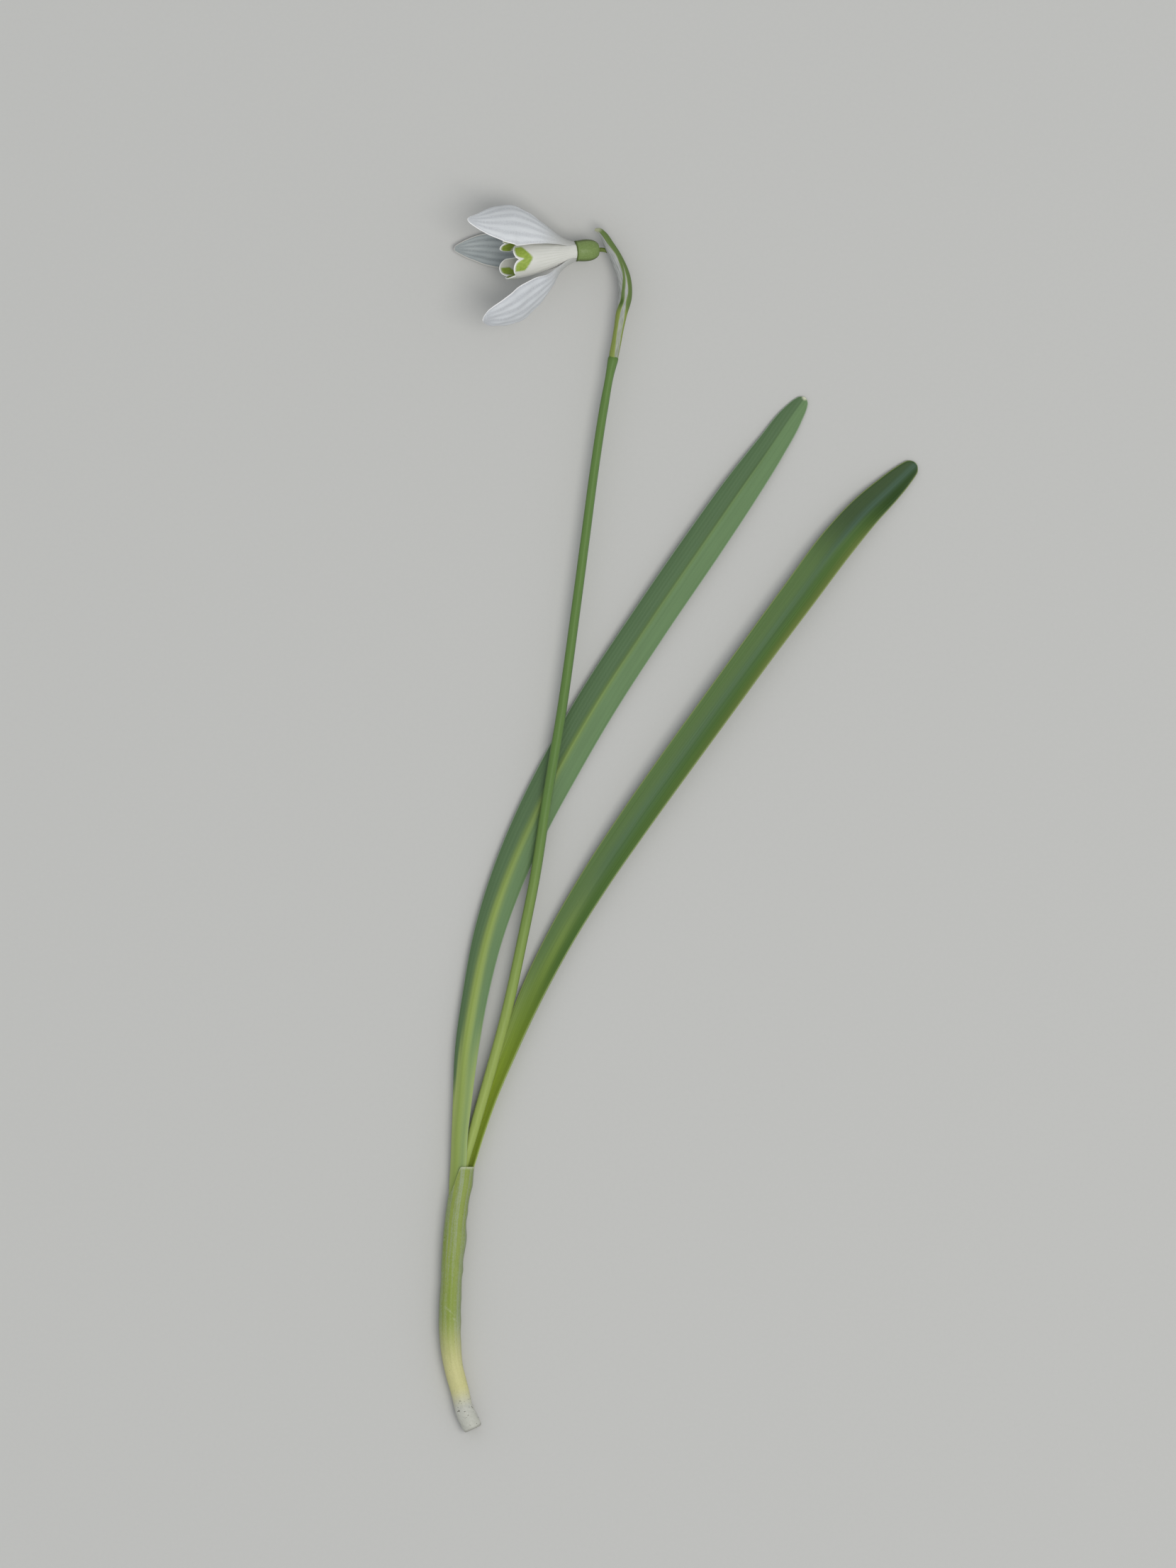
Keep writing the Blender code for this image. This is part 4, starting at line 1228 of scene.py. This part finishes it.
@dataclass(frozen=True)
class Flower:
    """The nodding flower: ovary, three outer petals, the notched cup and its stamens.

    Attributes:
        base: Where the ovary ends and the petals begin.
        droop, ovary_droop: How far its axis turns from -X towards -Y, and the ovary's.
        lift: How far its mouth is lifted off the table.
        sway, sway_length: How far the outer petals wave, and over what length.
        outer_ring, outer_foot, outer_seat: The outer petals' feet: their ring's radius,
            half of their width, and the height and radius at which they start.
        upper, lower, back: Rows of the outer petals' ribbons.
        lobe, notch, shoulder: How far up the cup's lobes reach, and how much lower the
            middle and the margins of a petal are.
        overlap: How far a petal's one margin stands out over its neighbour's.
        lobe_place: Where a lobe's crown is across, as a share.
        mark_start, mark_slope, mark_half, mark_fade: Where the green mark begins, how
            much later towards the margins, half of its width, and how wide it fades.
        ovary_waist, ovary_widest, ovary_neck: How much narrower the ovary is at the
            petals, where it is widest as a share, and its radius at the pedicel.
        stamen_profile, style_profile: Heights on the axis and radii.
    """

    base: tuple[float, float, float] = (-18.5, 102.3, 4.6)
    droop: float = 7.8
    ovary_droop: float = 4.5
    lift: float = 17.0
    outer_ring: float = 1.82
    outer_foot: float = 1.05
    outer_seat: tuple[float, float] = (-0.15, 1.45)
    petal_thickness: float = 0.3
    seat: float = -0.1
    rib_pitch: float = 0.38
    rib_height: float = 0.018
    sway: float = 0.05
    sway_length: float = 7.0
    upper: Rows = (
        (-21.51, 104.6, 7.1, -54.0, 1.35, 0.35, 0.3), (-24.27, 106.0, 8.7, -49.0, 2.85, 0.2, 0.3),
        (-27.02, 107.25, 10.1, -45.0, 4.42, 0.14, 0.3),
        (-29.37, 107.88, 11.2, -42.0, 5.16, 0.12, 0.3),
        (-31.84, 107.84, 12.1, -41.0, 4.58, 0.12, 0.3),
        (-34.44, 107.66, 12.8, -40.0, 2.98, 0.13, 0.3),
        (-36.55, 107.72, 13.2, -40.0, 1.46, 0.16, 0.28),
        (-37.95, 107.92, 13.4, -40.0, 0.46, 0.2, 0.26),
    )
    lower: Rows = (
        (-21.27, 98.78, 6.9, 70.0, 1.15, 0.45, 0.3), (-22.76, 96.58, 8.1, 62.0, 2.22, 0.25, 0.3),
        (-24.55, 94.76, 9.3, 54.0, 3.52, 0.16, 0.3), (-26.36, 93.25, 10.3, 53.0, 4.15, 0.13, 0.3),
        (-28.85, 91.4, 11.5, 52.0, 4.34, 0.12, 0.3), (-31.08, 90.5, 12.1, 52.0, 3.78, 0.13, 0.3),
        (-33.27, 90.04, 12.5, 52.0, 2.8, 0.15, 0.28), (-35.22, 89.86, 12.8, 52.0, 1.42, 0.2, 0.26),
    )
    back: Rows = (
        (-23.0, 101.9, 1.6, 0.0, 1.6, -0.35, 0.3), (-26.0, 102.1, 0.8, 0.0, 2.5, -0.24, 0.3),
        (-29.2, 102.3, 0.35, 0.0, 3.25, -0.2, 0.3), (-32.3, 102.53, 0.21, 0.0, 3.4, -0.2, 0.3),
        (-35.5, 102.78, 0.35, 0.0, 2.78, -0.19, 0.3), (-38.3, 102.82, 0.8, 0.0, 1.65, -0.19, 0.28),
        (-40.45, 102.8, 1.3, 0.0, 0.45, -0.2, 0.26),
    )
    petal_grid: Grid = (220, 96)
    lobe: float = 12.8
    notch: float = 1.2
    shoulder: float = 2.3
    overlap: float = 0.3
    lobe_place: float = 0.42
    cup_thickness: float = 0.27
    cup_radius: Rows = ((0.0, 1.5), (1.5, 1.72), (3.0, 2.1), (5.0, 2.6), (7.0, 3.0),
                        (9.0, 3.3), (11.0, 3.4), (13.0, 3.3))
    cup_half_angle: Rows = ((0.0, 48.0), (2.0, 50.0), (5.0, 56.0), (9.0, 63.0), (13.0, 63.0))
    cup_grid: Grid = (150, 150)
    mark_start: float = 9.1
    mark_slope: float = 0.80
    mark_half: float = 2.25
    mark_fade: float = 1.1
    vein_count: int = 11
    vein_width: float = 0.12
    vein_depth: float = 0.012
    ovary_length: float = 4.4
    ovary_radius: float = 2.0
    ovary_waist: float = 0.10
    ovary_widest: float = 0.45
    ovary_neck: float = 0.32
    stamen_ring: float = 0.95
    stamen_profile: Rows = ((0.3, 0.12), (1.2, 0.12), (1.7, 0.26), (3.2, 0.28), (5.2, 0.2),
                            (6.6, 0.06))
    style_profile: Rows = ((0.3, 0.2), (4.0, 0.17), (7.6, 0.15), (8.6, 0.2))

    @cached_property
    def axes(self) -> tuple[Array, Array, Array]:
        """The flower's axis, its side towards +Y and its front towards +Z."""
        droop, lift = math.radians(self.droop), math.radians(self.lift)
        flat = np.array((-math.cos(droop), -math.sin(droop), 0.0))
        axis = flat * math.cos(lift) + np.array((0.0, 0.0, math.sin(lift)))
        side = np.array((-math.sin(droop), math.cos(droop), 0.0))
        return axis, side, np.cross(side, axis)

    def at(self, height: Array | float, radius: Array | float = 0.0,
           azimuth: Array | float = 0.0) -> Array:
        """The point at a height on the axis and a radius from it, azimuth 0 in front."""
        axis, side, front = self.axes
        height, radius, azimuth = np.broadcast_arrays(height, radius, np.radians(azimuth))
        outwards = (front * np.cos(azimuth)[..., None] + side * np.sin(azimuth)[..., None])
        return np.asarray(self.base) + axis * height[..., None] + outwards * radius[..., None]

    def outer_petal(self, azimuth: float, roll: float, cup: float, rows: Rows,
                    tip: float, merged: int) -> Shell:
        """An outer petal: a ribbon whose ribs are a cosine across it.

        Args:
            azimuth: Where its foot is round the flower's axis.
            roll: How its foot is rolled.
            cup: How its foot is curved.
            rows: The rest of the ribbon's rows.
            tip: The rounding of its tip.
            merged: The side, -1 or 1, on which its foot's margin merges with the cup.

        Returns:
            The closed surface.
        """
        height, ring = self.outer_seat
        foot = tuple((*self.at(h, r, azimuth).tolist(), roll, half, cup, self.petal_thickness)
                     for h, r, half in ((height, ring, 0.85 * self.outer_foot),
                                        (0.7, 0.95 * self.outer_ring, self.outer_foot)))
        petal = Ribbon((*foot, *rows), self.petal_grid, tip=tip)
        t, v = petal.t, petal.v
        ribs = 0.5 + 0.5 * np.cos(2.0 * math.pi * v / self.rib_pitch)
        ribs = ribs * ease(petal.margin, 0.1, 0.5) * ease(t, 1.0, 0.85) * ease(t, 0.12, 0.45)
        margin = ease(petal.margin, 0.20, 0.06) * (1.0 - (v * merged > 0.0) * ease(t, 0.5, 0.25))
        # Painted shade: greyer towards the petal's foot.
        foot_shade = ease(t, 0.42, 0.05)
        slanted = petal.along + petal.across * 1.6
        sway = self.sway * ripple(int(abs(azimuth)) + 40, slanted, self.sway_length)
        return petal.shell((ribs, margin, foot_shade), self.rib_height * ribs,
                           sway * ease(t, 0.15, 0.4))

    def inner_petal(self, azimuth: float, longer: float, skew: float, curl: float,
                    tuck: float) -> Shell:
        """One petal of the cup, bent round the flower's axis, with two lobes and a notch.

        Each lobe ends in a quarter ellipse towards the notch and another towards the
        margin. One margin stands off the cup outwards, over its neighbour's, and the
        other inwards.

        Args:
            azimuth: Where its middle is round the axis.
            longer: How much longer than the front petal it is, in millimetres.
            skew: How much shorter it is at its one margin, and longer at the other.
            curl: How far its end stands off the cup at its second margin.
            tuck: How much narrower its end is on that side, as a share.

        Returns:
            The closed surface.
        """
        v = dense_ends(self.cup_grid[1])[None, :]
        share = dense_ends(self.cup_grid[0], 0.0, 1.0)[:, None]
        inside = np.maximum(1.0 - np.abs(v) / self.lobe_place, 0.0)
        outside = np.maximum((np.abs(v) - self.lobe_place) / (1.0 - self.lobe_place), 0.0)
        end = (self.lobe + longer - skew * v
               - self.notch * (1.0 - np.sqrt(1.0 - 0.97 * inside**2))
               - self.shoulder * (1.0 - np.sqrt(1.0 - 0.97 * outside**2)))
        height = self.seat + share * (end - self.seat)
        opened = height / self.lobe
        radius = curve(self.cup_radius, height) - self.overlap * v * opened
        radius = radius + curl * ease(v, 0.0, 0.8) * ease(opened, 0.72, 1.0)
        spread = (curve(self.cup_half_angle, height)
                  * (1.0 - tuck * ease(v, 0.0, 1.0) * ease(opened, 0.1, 0.9)))
        arc = np.radians(v * spread) * radius
        radius = radius + 0.02 * ripple(60, arc * 2.0 + height, 4.0)
        veins = bump(np.abs(((v * self.vein_count / 2.0) % 1.0) - 0.5), 0.0, self.vein_width)
        veins = veins * ease(opened, 0.75, 0.5)
        rim = (end - height) / np.sqrt(1.0 + (0.5 * np.gradient(end, v[0], axis=1)
                                              / (np.radians(spread) * radius)) ** 2)
        start = height - longer - self.mark_start - self.mark_slope * np.sqrt(arc**2 + 0.04)
        green = np.minimum(np.minimum(start * 0.78, self.mark_half - np.abs(arc)),
                           rim - (0.30 + 0.5 * bump(v, 0.0, 0.12)))
        side = (1.0 - np.abs(v)) * np.radians(spread) * radius
        margin = ease(np.minimum(rim, side), 0.24, 0.06)
        normal = self.cup_thickness / 2.0 * np.sqrt(
            np.clip(1.0 - np.abs(v) ** 10, 0.0, 1.0)
            * np.clip(np.minimum(share, 1.0 - share) * 40.0, 0.0, 1.0))
        grooves = -self.vein_depth * veins
        face = chart(arc, height, (v, share), rim,
                     (np.clip(0.5 + green / self.mark_fade, 0.0, 1.0), margin, veins))
        around = azimuth + v * spread
        return closed_sheet(self.at(height, radius + normal + grooves, around),
                            self.at(height, radius - normal, around), face)

    def ovary_rows(self) -> Rows:
        """Rows of the ovary: barrel-shaped, round towards the pedicel."""
        profile = [(0.35, self.ovary_radius * (1.0 - self.ovary_waist) * 0.6)]
        for share in np.linspace(0.0, self.ovary_widest, 5):
            waist = self.ovary_waist * (1.0 - share / self.ovary_widest) ** 2
            profile.append((-self.ovary_length * share, self.ovary_radius * (1.0 - waist)))
        for turn in np.radians(np.arange(15, 90, 15)):
            share = self.ovary_widest + (1.0 - self.ovary_widest) * math.sin(turn)
            profile.append((-self.ovary_length * share,
                            self.ovary_radius * math.cos(turn) ** 0.6))
        profile.append((-self.ovary_length, self.ovary_neck))
        return replace(self, droop=self.ovary_droop).stalk_rows(profile)

    def stalk_rows(self, profile: Sequence[Sequence[float]], radius: float = 0.0,
                   azimuth: float = 0.0) -> Rows:
        """Rows of a stalk along the flower's axis from its height and radius pairs."""
        return tuple((*self.at(height, radius, azimuth).tolist(), thick)
                     for height, thick in profile)

    def build(self) -> None:
        """Make the flower's pieces."""
        outer = OuterPetalFinish().material()
        # Painted shade: a greyer, darker copy of the petal skin for the back petal, which lies in
        # shade.
        shaded_back = replace(OuterPetalFinish(), name="back_petal_shaded_skin", rib=srgb(160, 167, 168),
                         groove=srgb(145, 152, 153), margin=srgb(186, 184, 177)).material()
        shaded = replace(OuterPetalFinish(), name="lower_petal_skin", rib=srgb(205, 208, 211),
                         groove=srgb(191, 194, 198)).material()
        foot_cup = 1.0 / self.outer_ring
        for name, node, shape, material in (
                ("upper_outer_petal", "outer_tepal_upper",
                 (72.0, -66.0, foot_cup, self.upper, 0.5, -1), outer),
                ("lower_outer_petal", "outer_tepal_lower",
                 (-74.0, 70.0, foot_cup, self.lower, 1.3, 1), shaded),
                ("back_outer_petal", "outer_tepal_back",
                 (180.0, 0.0, -foot_cup, self.back, 0.45, 1), shaded_back)):
            set_piece(name, self.outer_petal(*shape), material, node, Slot.OUTER_PETAL)
        inner = InnerPetalFinish().material()
        for name, node, shape in (
                ("front_inner_petal", "inner_tepal_front", (-3.0, -0.1, 0.38, 0.0, 0.0)),
                ("upper_inner_petal", "inner_tepal_upper", (112.0, 0.6, 0.0, 0.0, 0.40)),
                ("lower_inner_petal", "inner_tepal_lower", (238.0, 0.85, 0.2, 0.25, 0.0))):
            set_piece(name, self.inner_petal(*shape), inner, node, Slot.INNER_PETAL)
        ovary = Stalk(self.ovary_rows(), (140, 96), 6, 0.008)
        # The ovary's first mark paints shade on its sides, where it turns away from above.
        set_piece("green_ovary", ovary.shell(lambda turn, t: (
            ease(np.abs(np.sin(turn)), 0.70, 1.0) * 0.95, ease(t, 0.12, 0.07), 0.0)),
            OvaryFinish().material(), "ovary", Slot.OVARY)
        stamens = StamenFinish().material()
        for number in range(1, 7):
            rows = self.stalk_rows(self.stamen_profile, self.stamen_ring, 60.0 * number - 30.0)
            stamen = Stalk(rows, (60, 24), 4, 0.06)
            set_piece(f"anther_{number}", stamen.shell(lambda turn, t: (
                ease(t, 0.12, 0.2), 0.0, 0.0)), stamens, f"stamen_{number}", Slot.ANTHER)
        style = Stalk(self.stalk_rows(self.style_profile), (60, 24))
        pale = StamenFinish("style_skin", srgb(226, 230, 200), srgb(190, 206, 130))
        set_piece("flower_style", style.shell(lambda turn, t: (ease(t, 0.7, 1.0), 0.0, 0.0)),
                  pale.material(), "style", Slot.STYLE)


# ---------------------------------------------------------------- studio


@dataclass(frozen=True)
class Studio:
    """A pale floor, soft light and a camera that looks straight down on the plant.

    Attributes:
        centre: Where the camera points, in millimetres.
        tall: How much of the table the view's long side takes in.
        lens: The focal length, long, so that the view is nearly free of perspective.
        sky, sky_strength: The light from all round.
        key_from, key_size, key_power, key_colour: The soft lamp.
    """

    centre: tuple[float, float, float] = (-16.2, 6.1, 4.0)
    tall: float = 283.1
    lens: float = 800.0
    sensor: float = 36.0
    floor_half: float = 3000.0
    sky: Colour = (0.93, 0.96, 1.0, 1.0)
    sky_strength: float = 0.58
    key_from: tuple[float, float, float] = (520.0, -300.0, 2000.0)
    key_size: float = 1300.0
    key_power: float = 23.0
    key_colour: tuple[float, float, float] = (1.0, 0.975, 0.94)

    def floor(self) -> None:
        """Lay the floor under the plant."""
        half = self.floor_half * MM
        mesh = bpy.data.meshes.new("floor")
        corners = [(x * half, y * half, 0.0) for x, y in ((-1, -1), (1, -1), (1, 1), (-1, 1))]
        mesh.from_pydata(corners, [], [(0, 1, 2, 3)])
        mesh.materials.append(FloorFinish().material())
        link("floor", mesh)

    def light(self) -> None:
        """Hang one large soft lamp and fill the rest from a pale sky."""
        lamp = bpy.data.lights.new("key", "AREA")
        lamp.size = self.key_size * MM
        lamp.energy = self.key_power
        lamp.color = self.key_colour
        key = link("key", lamp)
        place = np.array(self.key_from)
        key.location = (place * MM).tolist()
        key.rotation_euler = self.aim(place)
        world = bpy.data.worlds.new("sky")
        world.use_nodes = True
        sky = world.node_tree.nodes["Background"]
        sky.inputs["Color"].default_value = self.sky
        sky.inputs["Strength"].default_value = self.sky_strength
        bpy.context.scene.world = world

    @staticmethod
    def aim(place: Array) -> tuple[float, float, float]:
        """The turn of a lamp at a place that shines on the origin."""
        flat = math.hypot(place[0], place[1])
        return math.atan2(flat, place[2]), 0.0, math.atan2(place[0], -place[1])

    def camera(self) -> None:
        """Look straight down from far above."""
        data = bpy.data.cameras.new("camera")
        data.sensor_fit = "AUTO"
        data.sensor_width = self.sensor
        data.lens = self.lens
        data.clip_end = 100.0
        camera = link("camera", data)
        x, y, z = self.centre
        distance = self.tall * self.lens / self.sensor
        camera.location = (x * MM, y * MM, (z + distance) * MM)
        bpy.context.scene.camera = camera

    def build(self) -> None:
        """Set up the whole studio, with colours shown as they are."""
        self.floor()
        self.light()
        self.camera()
        bpy.context.scene.view_settings.view_transform = "Standard"


def main() -> None:
    """Build the plant and its studio."""
    logging.basicConfig(level=logging.INFO, format="%(name)s: %(message)s")
    sheath = Sheath()
    sheath.build()
    Leaves(sheath).build()
    Stem(sheath).build()
    Flower().build()
    Studio().build()


if __name__ == "__main__":
    main()
